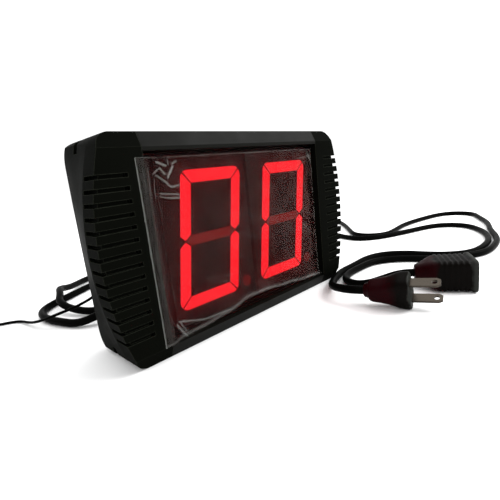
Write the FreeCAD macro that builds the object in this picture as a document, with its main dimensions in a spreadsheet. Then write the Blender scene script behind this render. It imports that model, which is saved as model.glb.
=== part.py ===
import FreeCAD, Part
import Sketcher
import math
import os

# A two-digit LED gym round timer: an aluminium extrusion closed by two ribbed plastic end caps, a red
# window over two 76 mm digits, a mains lead, a switched outlet lead for an external bell, and a thin lead
# to a hand-held start button.
#
# Frame: millimetres, +Z up, X to the right seen from the front, the display faces -Y. The origin is the
# centre of the flat underside that the timer stands on.

V = FreeCAD.Vector
doc = FreeCAD.newDocument("round_timer")
sheet = doc.addObject("Spreadsheet::Sheet", "dims")
nodes = {}


class Size:
    """A length with its value and the spreadsheet expression that it comes from."""

    def __init__(self, value, text):
        self.value = float(value)
        self.text = text

    def __add__(self, other):
        other = size(other)
        return Size(self.value + other.value, f"({self.text} + {other.text})")

    def __sub__(self, other):
        other = size(other)
        return Size(self.value - other.value, f"({self.text} - {other.text})")

    def __mul__(self, number):
        return Size(self.value * number, f"({self.text} * {number})")

    def __truediv__(self, number):
        return Size(self.value / number, f"({self.text} / {number})")

    def __neg__(self):
        return Size(-self.value, f"(0 - {self.text})")

    def leg(self, other):
        """The other short side of a right triangle with this long side."""
        text = f"sqrt({self.text} * {self.text} - {other.text} * {other.text})"
        return Size(math.sqrt(self.value**2 - other.value**2), text)

    __radd__ = __add__

    def __rsub__(self, other):
        return size(other) - self


def size(value):
    return value if isinstance(value, Size) else Size(value, repr(float(value)))


def dim(alias, value):
    """A driving dimension: a plain number in the spreadsheet, under its own name."""
    row = dim.next_row
    dim.next_row += 1
    sheet.set(f"A{row}", alias)
    sheet.set(f"B{row}", str(value))
    sheet.setAlias(f"B{row}", alias)
    return Size(value, f"dims.{alias}")


dim.next_row = 1

# Case
case_height = dim("case_height", 115.0)
case_depth = dim("case_depth", 48.5)
body_length = dim("body_length", 138.0)
wall = dim("wall", 2.2)
bevel_depth = dim("bevel_depth", 3.4)
bevel_height = dim("bevel_height", 7.3)
rear_radius = dim("rear_radius", 12.5)
cap_corner_reach = dim("cap_corner_reach", 87.8)
cap_middle_reach = dim("cap_middle_reach", 98.2)
cap_rear_reach = dim("cap_rear_reach", 87.5)
flare_depth = dim("flare_depth", 12.2)
cap_wall = dim("cap_wall", 2.5)
cap_corner_radius = dim("cap_corner_radius", 8.0)
# Grooves of the end caps
groove_pitch = dim("groove_pitch", 6.0)
first_groove = dim("first_groove", 17.5)
groove_width = dim("groove_width", 2.0)
groove_inner = dim("groove_inner", 77.9)
groove_front_depth = dim("groove_front_depth", 1.6)
groove_side_depth = dim("groove_side_depth", 2.4)
groove_wrap = dim("groove_wrap", 11.0)
GROOVES = 14
# Cap screws, in channels of the extrusion
screw_inset = dim("screw_inset", 4.4)
screw_place = dim("screw_place", 3.2)
screw_floor = dim("screw_floor", 74.5)
# Window and film
window_recess = dim("window_recess", 4.5)
window_thickness = dim("window_thickness", 2.5)
window_top = dim("window_top", 105.8)
film_thickness = dim("film_thickness", 0.2)
# Digits
digit_height = dim("digit_height", 76.2)
digit_middle = dim("digit_middle", 57.5)
digit_pitch = dim("digit_pitch", 64.5)
digit_shift = dim("digit_shift", 3.0)
waist_width = dim("waist_width", 36.7)
stroke = dim("stroke", 7.0)
module_width = dim("module_width", 62.0)
module_height = dim("module_height", 92.0)
module_depth = dim("module_depth", 9.5)
digit_recess = dim("digit_recess", 7.3)
SLANT = math.tan(math.radians(9.5))
# Boards
board_thickness = dim("board_thickness", 1.6)
board_gap = dim("board_gap", 13.8)
# Leads
lead_size = dim("lead_size", 5.5)
signal_size = dim("signal_size", 2.0)
lead_exit_height = dim("lead_exit_height", 18.0)
signal_exit_height = dim("signal_exit_height", 36.0)
relief_length = dim("relief_length", 20.0)
coil_radius = dim("coil_radius", 11.5)
coil_bundle = dim("coil_bundle", 3.6)
# Plug and connector
plug_length = dim("plug_length", 24.0)
plug_width = dim("plug_width", 22.5)
plug_tall = dim("plug_tall", 15.5)
plug_neck = dim("plug_neck", 3.5)
blade_pitch = dim("blade_pitch", 12.7)
blade_length = dim("blade_length", 16.5)
blade_width = dim("blade_width", 6.35)
blade_thickness = dim("blade_thickness", 1.5)
connector_length = dim("connector_length", 36.0)
# Start button
button_box_length = dim("button_box_length", 44.0)
button_box_width = dim("button_box_width", 26.0)
button_box_height = dim("button_box_height", 20.0)
button_radius = dim("button_radius", 6.0)

front = -case_depth / 2
rear = case_depth / 2
half_body = body_length / 2
window_front = front + window_recess
window_back = window_front + window_thickness
digit_face = front + digit_recess
board_front = digit_face + module_depth
board_back = board_front + board_thickness
main_front = board_back + board_gap
main_back = main_front + board_thickness

TURN = {
    "Z": FreeCAD.Rotation(V(0, 0, 1), 0),
    "-Z": FreeCAD.Rotation(V(1, 0, 0), 180),
    "X": FreeCAD.Rotation(V(0, 1, 0), 90),
    "-X": FreeCAD.Rotation(V(0, 1, 0), -90),
    "Y": FreeCAD.Rotation(V(1, 0, 0), -90),
    "-Y": FreeCAD.Rotation(V(1, 0, 0), 90),
}


# Building blocks


def bind(thing, prop, value):
    """Set a property and tie it to the spreadsheet."""
    thing.setExpression(prop, size(value).text)


def place(thing, base, axis="Z"):
    thing.Placement.Rotation = TURN[axis]
    for letter, value in zip("xyz", base):
        bind(thing, ".Placement.Base." + letter, value)
    return thing


def box(name, low, high):
    thing = doc.addObject("Part::Box", name)
    for prop, a, b in zip(("Length", "Width", "Height"), low, high):
        bind(thing, prop, size(b) - a)
    return place(thing, low)


def cylinder(name, base, radius, length, axis="Z"):
    thing = doc.addObject("Part::Cylinder", name)
    bind(thing, "Radius", radius)
    bind(thing, "Height", length)
    return place(thing, base, axis)


def cone(name, base, radius_near, radius_far, length, axis="Z"):
    thing = doc.addObject("Part::Cone", name)
    bind(thing, "Radius1", radius_near)
    bind(thing, "Radius2", radius_far)
    bind(thing, "Height", length)
    return place(thing, base, axis)


def fuse(name, pieces):
    thing = doc.addObject("Part::MultiFuse", name)
    thing.Shapes = pieces
    return thing


def common(name, pieces):
    thing = doc.addObject("Part::MultiCommon", name)
    thing.Shapes = pieces
    return thing


def cut(name, base, tools):
    thing = doc.addObject("Part::Cut", name)
    thing.Base = base
    thing.Tool = tools[0] if len(tools) == 1 else fuse(name + "_tools", tools)
    return thing


def group(name, pieces):
    """Separate solids that share one node."""
    thing = doc.addObject("Part::Compound", name)
    thing.Links = pieces
    return thing


def mirrored(name, source):
    thing = doc.addObject("Part::Mirroring", name)
    thing.Source = source
    thing.Normal = V(1, 0, 0)
    return thing


def fixed_shape(name, shape, placement=None):
    """A solid that no primitive or feature makes, such as a lead's tube."""
    thing = doc.addObject("Part::Feature", name)
    thing.Shape = shape
    if placement:
        thing.Placement = placement
    return thing


def node(name, thing):
    thing.Label = name
    nodes[name] = thing
    return thing


def origin_plane(body, role):
    return next(f for f in body.Origin.OriginFeatures if f.Role == role)


def new_sketch(body, name, role, offset=0):
    sketch = body.newObject("Sketcher::SketchObject", name)
    sketch.AttachmentSupport = (origin_plane(body, role), [""])
    sketch.MapMode = "FlatFace"
    bind(sketch, ".AttachmentOffset.Base.z", offset)
    return sketch


def pin_point(sketch, line, end, point):
    """Tie one end of a sketch line to its two coordinates."""
    for kind, value in (("DistanceX", point[0]), ("DistanceY", point[1])):
        value = size(value)
        index = sketch.addConstraint(Sketcher.Constraint(kind, -1, 1, line, end, value.value))
        sketch.setExpression(f"Constraints[{index}]", value.text)


def outline(sketch, points, arc_radius=None):
    """A closed outline of straight lines. With arc_radius, its second side is an arc that bulges outwards."""
    first = sketch.GeometryCount
    count = len(points)
    ends = [V(size(x).value, size(y).value, 0) for x, y in points]
    for i in range(count):
        a = ends[i]
        b = ends[(i + 1) % count]
        if arc_radius and i == 1:
            half = (b - a).Length / 2
            side = V(b.y - a.y, a.x - b.x, 0).normalize()
            rise = arc_radius.value - math.sqrt(arc_radius.value**2 - half**2)
            arc = Part.Arc(a, (a + b) / 2 + side * rise, b)
            sketch.addGeometry(arc)
            bulge = first + i
        else:
            sketch.addGeometry(Part.LineSegment(a, b))
    for i in range(count):
        sketch.addConstraint(Sketcher.Constraint("Coincident", first + i, 2, first + (i + 1) % count, 1))
    for i in range(count):
        if not (arc_radius and i == 1):
            pin_point(sketch, first + i, 1, points[i])
            if arc_radius and i == 0:
                pin_point(sketch, first + i, 2, points[1])
    if arc_radius:
        index = sketch.addConstraint(Sketcher.Constraint("Radius", bulge, arc_radius.value))
        sketch.setExpression(f"Constraints[{index}]", arc_radius.text)


def pad(body, name, sketch, length, midplane=False, reverse=False):
    feature = body.newObject("PartDesign::Pad", name)
    feature.Profile = sketch
    feature.Midplane = midplane
    feature.Reversed = reverse
    bind(feature, "Length", length)
    return feature


def pocket(body, name, sketch, length, midplane=False, reverse=False):
    feature = body.newObject("PartDesign::Pocket", name)
    feature.Profile = sketch
    feature.Midplane = midplane
    feature.Reversed = reverse
    bind(feature, "Length", length)
    return feature


def fillet(body, name, base, radius, chosen):
    """Round the edges whose middle and direction pass the test."""
    doc.recompute()
    edges = []
    for i, edge in enumerate(base.Shape.Edges, 1):
        if chosen(edge.BoundBox):
            edges.append(f"Edge{i}")
    feature = body.newObject("PartDesign::Fillet", name)
    feature.Base = (base, edges)
    bind(feature, "Radius", radius)
    body.Tip = feature
    return feature


def side_profile(inset=0):
    """The case seen from its end, as (y, z) corners: flat back and underside, a bevel at both front edges."""
    return [
        (front + bevel_depth + inset, size(0) + inset),
        (rear - inset, size(0) + inset),
        (rear - inset, case_height - inset),
        (front + bevel_depth + inset, case_height - inset),
        (front + inset, case_height - bevel_height - inset * 0.5),
        (front + inset, bevel_height + inset * 0.5),
    ]


def rear_edges(y):
    """Chooses the two long edges at the back, at depth y."""

    def test(bounds):
        lengthwise = bounds.XLength > 5 and bounds.YLength < 0.01 and bounds.ZLength < 0.01
        return lengthwise and abs(bounds.YMin - y) < 0.01

    return test


# Case


def case_shell(body):
    """The outer profile with its rounded rear edges, hollowed, open in front and slotted for the window."""
    long = body_length
    sketch = new_sketch(body, "outer_profile", "YZ_Plane")
    outline(sketch, side_profile())
    solid = pad(body, "outer_pad", sketch, long, midplane=True)
    fillet(body, "rear_rounding", solid, rear_radius, rear_edges(rear.value))

    rib_back = window_back + 1.8
    inner_low = wall
    inner_high = case_height - wall
    sketch = new_sketch(body, "cavity_profile", "YZ_Plane")
    inner_rear = rear - wall
    corner = rear_radius - wall
    points = [
        (rib_back, inner_low),
        (inner_rear - corner, inner_low),
        (inner_rear, inner_low + corner),
        (inner_rear, inner_high - corner),
        (inner_rear - corner, inner_high),
        (rib_back, inner_high),
    ]
    outline(sketch, points)
    pocket(body, "cavity", sketch, long + 2, midplane=True)

    sketch = new_sketch(body, "opening_profile", "YZ_Plane")
    outline(
        sketch,
        [
            (front - 1, bevel_height),
            (rib_back + 1, bevel_height),
            (rib_back + 1, window_top),
            (front - 1, window_top),
        ],
    )
    pocket(body, "window_opening", sketch, long + 2, midplane=True)

    sketch = new_sketch(body, "slot_profile", "YZ_Plane")
    outline(
        sketch,
        [
            (window_front, bevel_height - 3.5),
            (window_back + 0.25, bevel_height - 3.5),
            (window_back + 0.25, window_top + 3.5),
            (window_front, window_top + 3.5),
        ],
    )
    pocket(body, "window_slot", sketch, long + 2, midplane=True)


def case_guides(body):
    """Ribs that hold the display board, and the channels that the cap screws cut into."""
    long = body_length
    inner_low = wall
    inner_high = case_height - wall
    rib = size(4.0)
    for number, near in enumerate((board_front - 1.55, board_back + 0.25)):
        for part, low in (("low", inner_low), ("high", inner_high - rib)):
            sketch = new_sketch(body, f"board_guide_{part}_{number}_profile", "YZ_Plane")
            outline(sketch, [(near, low), (near + 1.3, low), (near + 1.3, low + rib), (near, low + rib)])
            pad(body, f"board_guide_{part}_{number}", sketch, long, midplane=True)

    channel = size(3.0)
    for part, height in (("low", screw_inset), ("high", case_height - screw_inset)):
        sketch = new_sketch(body, f"screw_channel_{part}_profile", "YZ_Plane")
        low = height - channel
        if part == "low":
            low = inner_low
        high = height + channel
        if part == "high":
            high = inner_high
        sides = (screw_place - channel, screw_place + channel)
        outline(sketch, [(sides[0], low), (sides[1], low), (sides[1], high), (sides[0], high)])
        pad(body, f"screw_channel_{part}", sketch, long, midplane=True)


def case_holes():
    """Bores of the screw channels, the leads' exits and the two keyholes."""
    holes = []
    for part, height in (("low", screw_inset), ("high", case_height - screw_inset)):
        start = (-half_body - 1, screw_place, height)
        holes.append(cylinder(f"channel_bore_{part}", start, 1.35, body_length + 2, "X"))
    near = rear - wall - 1
    through = wall + 2
    for name, x, z, radius in LEAD_EXITS:
        holes.append(cylinder(f"{name}_hole", (x, near, z), radius, through, "Y"))
    slot_top = HANGING_HEIGHT + 8.0
    for side in (-1, 1):
        x = HANGING_REACH * side
        holes.append(cylinder(f"keyhole_round_{side + 1}", (x, near, HANGING_HEIGHT), 4.25, through, "Y"))
        low = (x - 2.1, near, HANGING_HEIGHT)
        holes.append(box(f"keyhole_slot_{side + 1}", low, (x + 2.1, rear + 1, slot_top)))
        holes.append(cylinder(f"keyhole_end_{side + 1}", (x, near, slot_top), 2.1, through, "Y"))
    return holes


def case_extrusion():
    body = doc.addObject("PartDesign::Body", "case_extrusion")
    case_shell(body)
    case_guides(body)
    doc.recompute()
    return node("case_extrusion", cut("drilled_extrusion", body, case_holes()))


# name, x, z, hole radius in the rear wall
LEAD_EXITS = (
    ("mains_lead", -56.0, lead_exit_height, 4.0),
    ("outlet_lead", -36.0, lead_exit_height, 4.0),
    ("signal_lead", -60.0, signal_exit_height, 2.6),
)
HANGING_REACH = 50.0
HANGING_HEIGHT = 86.0


def flare_radius():
    """The radius of the end cap's bulged edge, from its chord and its rise."""
    rise = cap_middle_reach.value - cap_corner_reach.value
    half = case_height.value / 2
    chord = "dims.case_height / 2"
    bulge = "(dims.cap_middle_reach - dims.cap_corner_reach)"
    text = f"((({chord}) * ({chord}) + {bulge} * {bulge}) / (2 * {bulge}))"
    return Size((half**2 + rise**2) / (2 * rise), text)


def pin_round(sketch, arc, centre, radius):
    """Tie an arc's centre and radius to their sizes."""
    for kind, value in (("DistanceX", centre[0]), ("DistanceY", centre[1])):
        index = sketch.addConstraint(Sketcher.Constraint(kind, -1, 1, arc, 3, value.value))
        sketch.setExpression(f"Constraints[{index}]", value.text)
    index = sketch.addConstraint(Sketcher.Constraint("Radius", arc, radius.value))
    sketch.setExpression(f"Constraints[{index}]", radius.text)


def rounded_front(name, reach_in, inset):
    """The cap's outline from the front, with rounded corners, carried through the whole depth."""
    bulge = flare_radius()
    corner = cap_corner_radius
    half = case_height / 2
    bulge_x = cap_middle_reach - bulge
    corner_x = bulge_x + (bulge - corner).leg(half - corner)
    bulge = bulge - inset
    small = corner - inset
    low = size(inset)
    high = case_height - inset
    left = size(reach_in - 1)
    tilt = math.atan2(half.value - corner.value, corner_x.value - bulge_x.value)

    body = doc.addObject("PartDesign::Body", name)
    sketch = new_sketch(body, name + "_outline", "XZ_Plane", -(rear + 2))
    points = [V(left.value, low.value, 0), V(corner_x.value, low.value, 0)]
    sketch.addGeometry(Part.LineSegment(*points))
    quarter = math.pi / 2
    rounds = (
        ((corner_x, corner), small, -quarter, -tilt),
        ((bulge_x, half), bulge, -tilt, tilt),
        ((corner_x, case_height - corner), small, tilt, quarter),
    )
    for centre, radius, start, end in rounds:
        circle = Part.Circle(V(centre[0].value, centre[1].value, 0), V(0, 0, 1), radius.value)
        sketch.addGeometry(Part.ArcOfCircle(circle, start, end))
    points = [V(corner_x.value, high.value, 0), V(left.value, high.value, 0), V(left.value, low.value, 0)]
    sketch.addGeometry(Part.LineSegment(points[0], points[1]))
    sketch.addGeometry(Part.LineSegment(points[1], points[2]))
    for i in range(6):
        kind = "Tangent" if i < 4 else "Coincident"
        sketch.addConstraint(Sketcher.Constraint(kind, i, 2, (i + 1) % 6, 1))
    pin_point(sketch, 0, 1, (left, low))
    pin_point(sketch, 4, 2, (left, high))
    sketch.addConstraint(Sketcher.Constraint("Horizontal", 0))
    sketch.addConstraint(Sketcher.Constraint("Horizontal", 4))
    pin_round(sketch, 2, rounds[1][0], bulge)
    for arc in (1, 3):
        index = sketch.addConstraint(Sketcher.Constraint("Radius", arc, small.value))
        sketch.setExpression(f"Constraints[{index}]", small.text)
    pad(body, name + "_pad", sketch, case_depth + 4)
    return body


def cap_block(name, reach_in, inset):
    """The outer form of the right end cap, or its hollow when inset is the wall's thickness."""
    end = cap_middle_reach + 4
    profile = doc.addObject("PartDesign::Body", name + "_profile")
    sketch = new_sketch(profile, name + "_profile_sketch", "YZ_Plane", reach_in)
    outline(sketch, side_profile(inset))
    solid = pad(profile, name + "_profile_pad", sketch, end - reach_in)
    fillet(profile, name + "_rounding", solid, rear_radius - inset, rear_edges((rear - inset).value))

    radius = flare_radius()
    flare = doc.addObject("PartDesign::Body", name + "_flare")
    depth_at = {}
    for part, depth in (("front", front - 1), ("knee", front + flare_depth), ("rear", rear + 1)):
        sketch = new_sketch(flare, f"{name}_{part}_outline", "XZ_Plane", -depth)
        low = size(-0.01)
        high = case_height + 0.01
        reach = cap_rear_reach if part == "rear" else cap_corner_reach
        bend = radius if part != "rear" else size(9000.0)
        outline(
            sketch,
            [(reach_in - 1, low), (reach - inset, low), (reach - inset, high), (reach_in - 1, high)],
            arc_radius=bend,
        )
        depth_at[part] = sketch
    loft = flare.newObject("PartDesign::AdditiveLoft", name + "_front_loft")
    loft.Profile = depth_at["front"]
    loft.Sections = [depth_at["knee"]]
    loft.Ruled = True
    loft = flare.newObject("PartDesign::AdditiveLoft", name + "_rear_loft")
    loft.Profile = depth_at["knee"]
    loft.Sections = [depth_at["rear"]]
    loft.Ruled = True
    flare.Tip = loft
    doc.recompute()
    return common(name, [profile, flare, rounded_front(name + "_corners", reach_in, inset)])


def groove_cutters():
    """Fourteen slots across the cap's front edge, each ending in a small deeper pocket."""
    slabs = []
    pockets = []
    far = cap_middle_reach + 5
    for i in range(GROOVES):
        middle = first_groove + groove_pitch * i
        low = middle - groove_width / 2
        high = middle + groove_width / 2
        slabs.append(box(f"groove_{i}", (groove_inner, front - 1, low), (far, front + groove_wrap, high)))
        end_high = (groove_inner + 2, front + 3, high)
        pockets.append(box(f"groove_end_{i}", (groove_inner, front - 1, low), end_high))
    radius = flare_radius()
    axis = (cap_middle_reach - radius, front, case_height / 2)
    core = common(
        "groove_core",
        [
            cylinder("groove_core_round", axis, radius - groove_side_depth, 30, "Y"),
            box("groove_core_front", (60, front + groove_front_depth, 0), (far, front + 30, case_height)),
        ],
    )
    return [cut("groove_comb", fuse("groove_slabs", slabs), [core]), fuse("groove_ends", pockets)]


def right_end_cap():
    outer = cap_block("cap_outer", half_body, 0)
    hollow = cap_block("cap_hollow", half_body - 1, cap_wall)
    room = box(
        "cap_room",
        (half_body - 2, front + window_recess, -1),
        (cap_rear_reach - cap_wall - 2, rear, case_height + 1),
    )
    shell = cut("cap_shell", outer, [common("cap_cavity", [hollow, room])])
    bosses = []
    drills = []
    for part, height, low, high in (
        ("low", screw_inset, size(0), screw_inset + 5),
        ("high", case_height - screw_inset, case_height - screw_inset - 5, case_height),
    ):
        block = box(
            f"cap_boss_{part}_block",
            (half_body, screw_place - 4.6, low),
            (cap_rear_reach - 1, screw_place + 4.6, high),
        )
        bosses.append(common(f"cap_boss_{part}", [block, outer]))
        drills.append(cylinder(f"cap_drill_{part}", (half_body - 1, screw_place, height), 1.65, 10, "X"))
        open_low = size(-1) if part == "low" else height - 2.7
        open_high = height + 2.7 if part == "low" else case_height + 1
        drills.append(
            box(
                f"screw_pocket_{part}",
                (screw_floor, screw_place - 2.7, open_low),
                (cap_middle_reach + 5, screw_place + 2.7, open_high),
            )
        )
    tab = box(
        "cap_tab",
        (half_body - 6, rear - wall - 2.45, 46),
        (half_body + 1, rear - wall - 0.25, case_height - 20),
    )
    foot_low = (half_body, rear - wall - 2.45, 46)
    foot = box("cap_tab_foot", foot_low, (half_body + 2, rear - 1, case_height - 20))
    whole = fuse("cap_whole", [shell, *bosses, tab, foot])
    return cut("cap_cut", whole, [*drills, *groove_cutters()])


def end_caps():
    right = node("right_end_cap", right_end_cap())
    node("left_end_cap", mirrored("left_cap", right))


def cap_screws():
    """Four pan-head screws, two through each cap into the extrusion's channels."""
    screws = []
    for side, axis in ((1, "X"), (-1, "-X")):
        for part, height in (("low", screw_inset), ("high", case_height - screw_inset)):
            tag = f"{part}_{side + 1}"
            far = screw_floor * side
            head = cylinder(f"screw_head_{tag}", (far, screw_place, height), 2.5, 2.0, axis)
            inward = "-X" if side > 0 else "X"
            shank = cylinder(f"screw_shank_{tag}", (far, screw_place, height), 1.3, 16.0, inward)
            top = (screw_floor + 2.0) * side
            recess = []
            for letter, half_y, half_z in (("a", 1.4, 0.3), ("b", 0.3, 1.4)):
                low = (top - 0.8, screw_place - half_y, height - half_z)
                high = (top + 0.8, screw_place + half_y, height + half_z)
                recess.append(box(f"screw_cross_{letter}_{tag}", low, high))
            screws.append(cut(f"cap_screw_{tag}", fuse(f"cap_screw_blank_{tag}", [head, shank]), recess))
    node("cap_screws", group("cap_screw_set", screws))


# Window and film


def window_and_film():
    half = half_body - 0.3
    node(
        "window_panel",
        box(
            "window",
            (-half, window_front, bevel_height - 3.3),
            (half, window_back, window_top + 3.3),
        ),
    )
    film = doc.addObject("PartDesign::Body", "film_body")
    sketch = new_sketch(film, "film_profile", "XY_Plane", bevel_height + 0.4)
    thick = film_thickness
    lies_at = window_front
    over = front
    outline(
        sketch,
        [
            (half_body - 0.6, lies_at - thick),
            (half_body - 0.6, lies_at),
            (-half_body + 4.5, lies_at),
            (-half_body, over),
            (-half_body - 5.0, over),
            (-half_body - 5.0, over - thick),
            (-half_body + 0.1, over - thick),
            (-half_body + 4.6, lies_at - thick),
        ],
    )
    pad(film, "film_pad", sketch, window_top - bevel_height - 3.0)
    node("protective_film", film)


# Digits


def segment_outlines():
    """The seven segments of a digit: lists of corners (x, z) about its middle, before the slant."""
    half_w = waist_width / 2
    half_h = digit_height / 2
    s = stroke / 2
    gap = 0.35
    mid = half_h - s
    waist = s * 0.82
    top = [
        (-half_w - s + 0.3 + gap, mid + s),
        (half_w + s - 0.3 - gap, mid + s),
        (half_w - s - gap, mid - s),
        (-half_w + s + gap, mid - s),
    ]
    upper_right = [
        (half_w + s, mid + s - gap * 2),
        (half_w + s, waist + gap),
        (half_w, gap * 1.4),
        (half_w - s, waist + gap),
        (half_w - s, mid - s - gap),
    ]
    middle = [
        (-half_w + gap * 1.6, 0),
        (-half_w + s + gap, waist),
        (half_w - s - gap, waist),
        (half_w - gap * 1.6, 0),
        (half_w - s - gap, -waist),
        (-half_w + s + gap, -waist),
    ]

    def flip(points, across, up):
        return [(size(x) * across, size(z) * up) for x, z in points]

    return {
        "top": top,
        "bottom": flip(top, 1, -1),
        "upper_right": upper_right,
        "upper_left": flip(upper_right, -1, 1),
        "lower_right": flip(upper_right, 1, -1),
        "lower_left": flip(upper_right, -1, -1),
        "middle": middle,
    }


def segment_prism(name, points, centre_x, near, deep):
    """One segment between two depths, leaning to the right like the digit."""
    body = doc.addObject("PartDesign::Body", name)
    sketch = new_sketch(body, name + "_outline", "XZ_Plane", -size(near))
    leaning = [(size(x) + size(z) * SLANT + centre_x, size(z) + digit_middle) for x, z in points]
    outline(sketch, leaning)
    pad(body, name + "_pad", sketch, size(deep) - near, reverse=True)
    return body


def digit(name, centre_x):
    lit = []
    dark = []
    back = digit_face + 6.0
    for part, points in segment_outlines().items():
        prism = segment_prism(f"{name}_{part}", points, centre_x, digit_face, back)
        if part == "middle":
            dark.append(prism)
        else:
            lit.append(prism)
    dot_x = centre_x + 23.6
    dot_z = digit_middle - 34.0
    dark.append(cylinder(f"{name}_dot", (dot_x, digit_face, dot_z), 3.6, 6.0, "Y"))
    rounding = rounded_frame(name, centre_x, back)
    lit = [common(f"{name}_lit_{i}", [piece, rounding]) for i, piece in enumerate(lit)]
    low = (centre_x - module_width / 2, digit_face, digit_middle - module_height / 2)
    high = (centre_x + module_width / 2, board_front, digit_middle + module_height / 2)
    block = box(f"{name}_block", low, high)
    node(f"{name}_housing", cut(f"{name}_frame", block, lit + dark))
    node(f"{name}_lit_segments", group(f"{name}_lit", lit))
    node(f"{name}_unlit_segments", group(f"{name}_unlit", dark))


def rounded_frame(name, centre_x, back):
    """The digit's outer edge with its four corners rounded, as a slab that trims the segments."""
    reach = waist_width / 2 + stroke / 2
    half_h = digit_height / 2
    corners = [(-reach, -half_h), (reach, -half_h), (reach, half_h), (-reach, half_h)]
    slab = segment_prism(f"{name}_edge", corners, centre_x, digit_face - 1, back + 1)
    doc.recompute()
    pad_feature = slab.Tip
    edges = []
    for i, edge in enumerate(pad_feature.Shape.Edges, 1):
        bounds = edge.BoundBox
        if bounds.YLength > 5 and bounds.XLength < 0.01:
            edges.append(f"Edge{i}")
    feature = slab.newObject("PartDesign::Fillet", f"{name}_edge_rounding")
    feature.Base = (pad_feature, edges)
    feature.Radius = 5.0
    slab.Tip = feature
    return slab


def digits():
    middle = digit_shift
    digit("tens_digit", middle - digit_pitch / 2)
    digit("units_digit", middle + digit_pitch / 2)


# Boards and what is on them

PIN_ROWS = (-1, 1)
PINS = 5
PIN_PITCH = 5.08
STANDOFF_REACH = 60.5
STANDOFF_HEIGHTS = (18.0, 97.0)


def pin_places():
    for digit_side in (-0.5, 0.5):
        centre = digit_shift + digit_pitch * digit_side
        for row in PIN_ROWS:
            for i in range(PINS):
                yield centre + (i - (PINS - 1) / 2) * PIN_PITCH, digit_middle + 43.0 * row


def standoff_places():
    for side in (-1, 1):
        for height in STANDOFF_HEIGHTS:
            yield STANDOFF_REACH * side, height


def boards():
    low_edge = wall + 0.6
    blank = box("display_board_blank", (-66, board_front, low_edge), (66, board_back, case_height - low_edge))
    holes = []
    pins = []
    for i, (x, z) in enumerate(pin_places()):
        holes.append(cylinder(f"pin_hole_{i}", (x, board_front - 1, z), 0.5, board_thickness + 2, "Y"))
        pins.append(cylinder(f"pin_{i}", (x, board_front, z), 0.35, board_thickness + 1.2, "Y"))
    for i, (x, z) in enumerate(standoff_places()):
        holes.append(cylinder(f"standoff_hole_{i}", (x, board_front - 1, z), 2.05, board_thickness + 2, "Y"))
    node("display_board", cut("display_board_cut", blank, holes))
    node("digit_pins", group("digit_pin_set", pins))

    blank = box("main_board_blank", (-65, main_front, 12), (65, main_back, 103))
    holes = []
    standoffs = []
    screws = []
    for i, (x, z) in enumerate(standoff_places()):
        holes.append(cylinder(f"board_hole_{i}", (x, main_front - 1, z), 1.7, board_thickness + 2, "Y"))
        stem = cylinder(f"standoff_stem_{i}", (x, board_back, z), 2.75, board_gap, "Y")
        stud = cylinder(f"standoff_stud_{i}", (x, board_front + 0.1, z), 2.0, board_thickness, "Y")
        bore = cylinder(f"standoff_bore_{i}", (x, main_front - 8, z), 1.55, 9, "Y")
        standoffs.append(cut(f"standoff_{i}", fuse(f"standoff_blank_{i}", [stem, stud]), [bore]))
        head = cylinder(f"board_screw_head_{i}", (x, main_back, z), 2.8, 1.9, "Y")
        shank = cylinder(f"board_screw_shank_{i}", (x, main_back - 6.5, z), 1.5, 6.5, "Y")
        slot_low = (x - 3, main_back + 1.2, z - 0.35)
        slot = box(f"board_screw_slot_{i}", slot_low, (x + 3, main_back + 3, z + 0.35))
        screws.append(cut(f"board_screw_{i}", fuse(f"board_screw_blank_{i}", [head, shank]), [slot]))
    node("main_board", cut("main_board_cut", blank, holes))
    node("board_standoffs", group("standoff_set", standoffs))
    node("board_screws", group("board_screw_set", screws))
    node("board_header", box("header", (-16, board_back, 98), (16, main_front, 103)))


def on_main_board(name, low_x, low_z, width, height, tall):
    """A block-shaped component on the back of the main board."""
    return box(name, (low_x, main_back, low_z), (low_x + width, main_back + tall, low_z + height))


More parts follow.
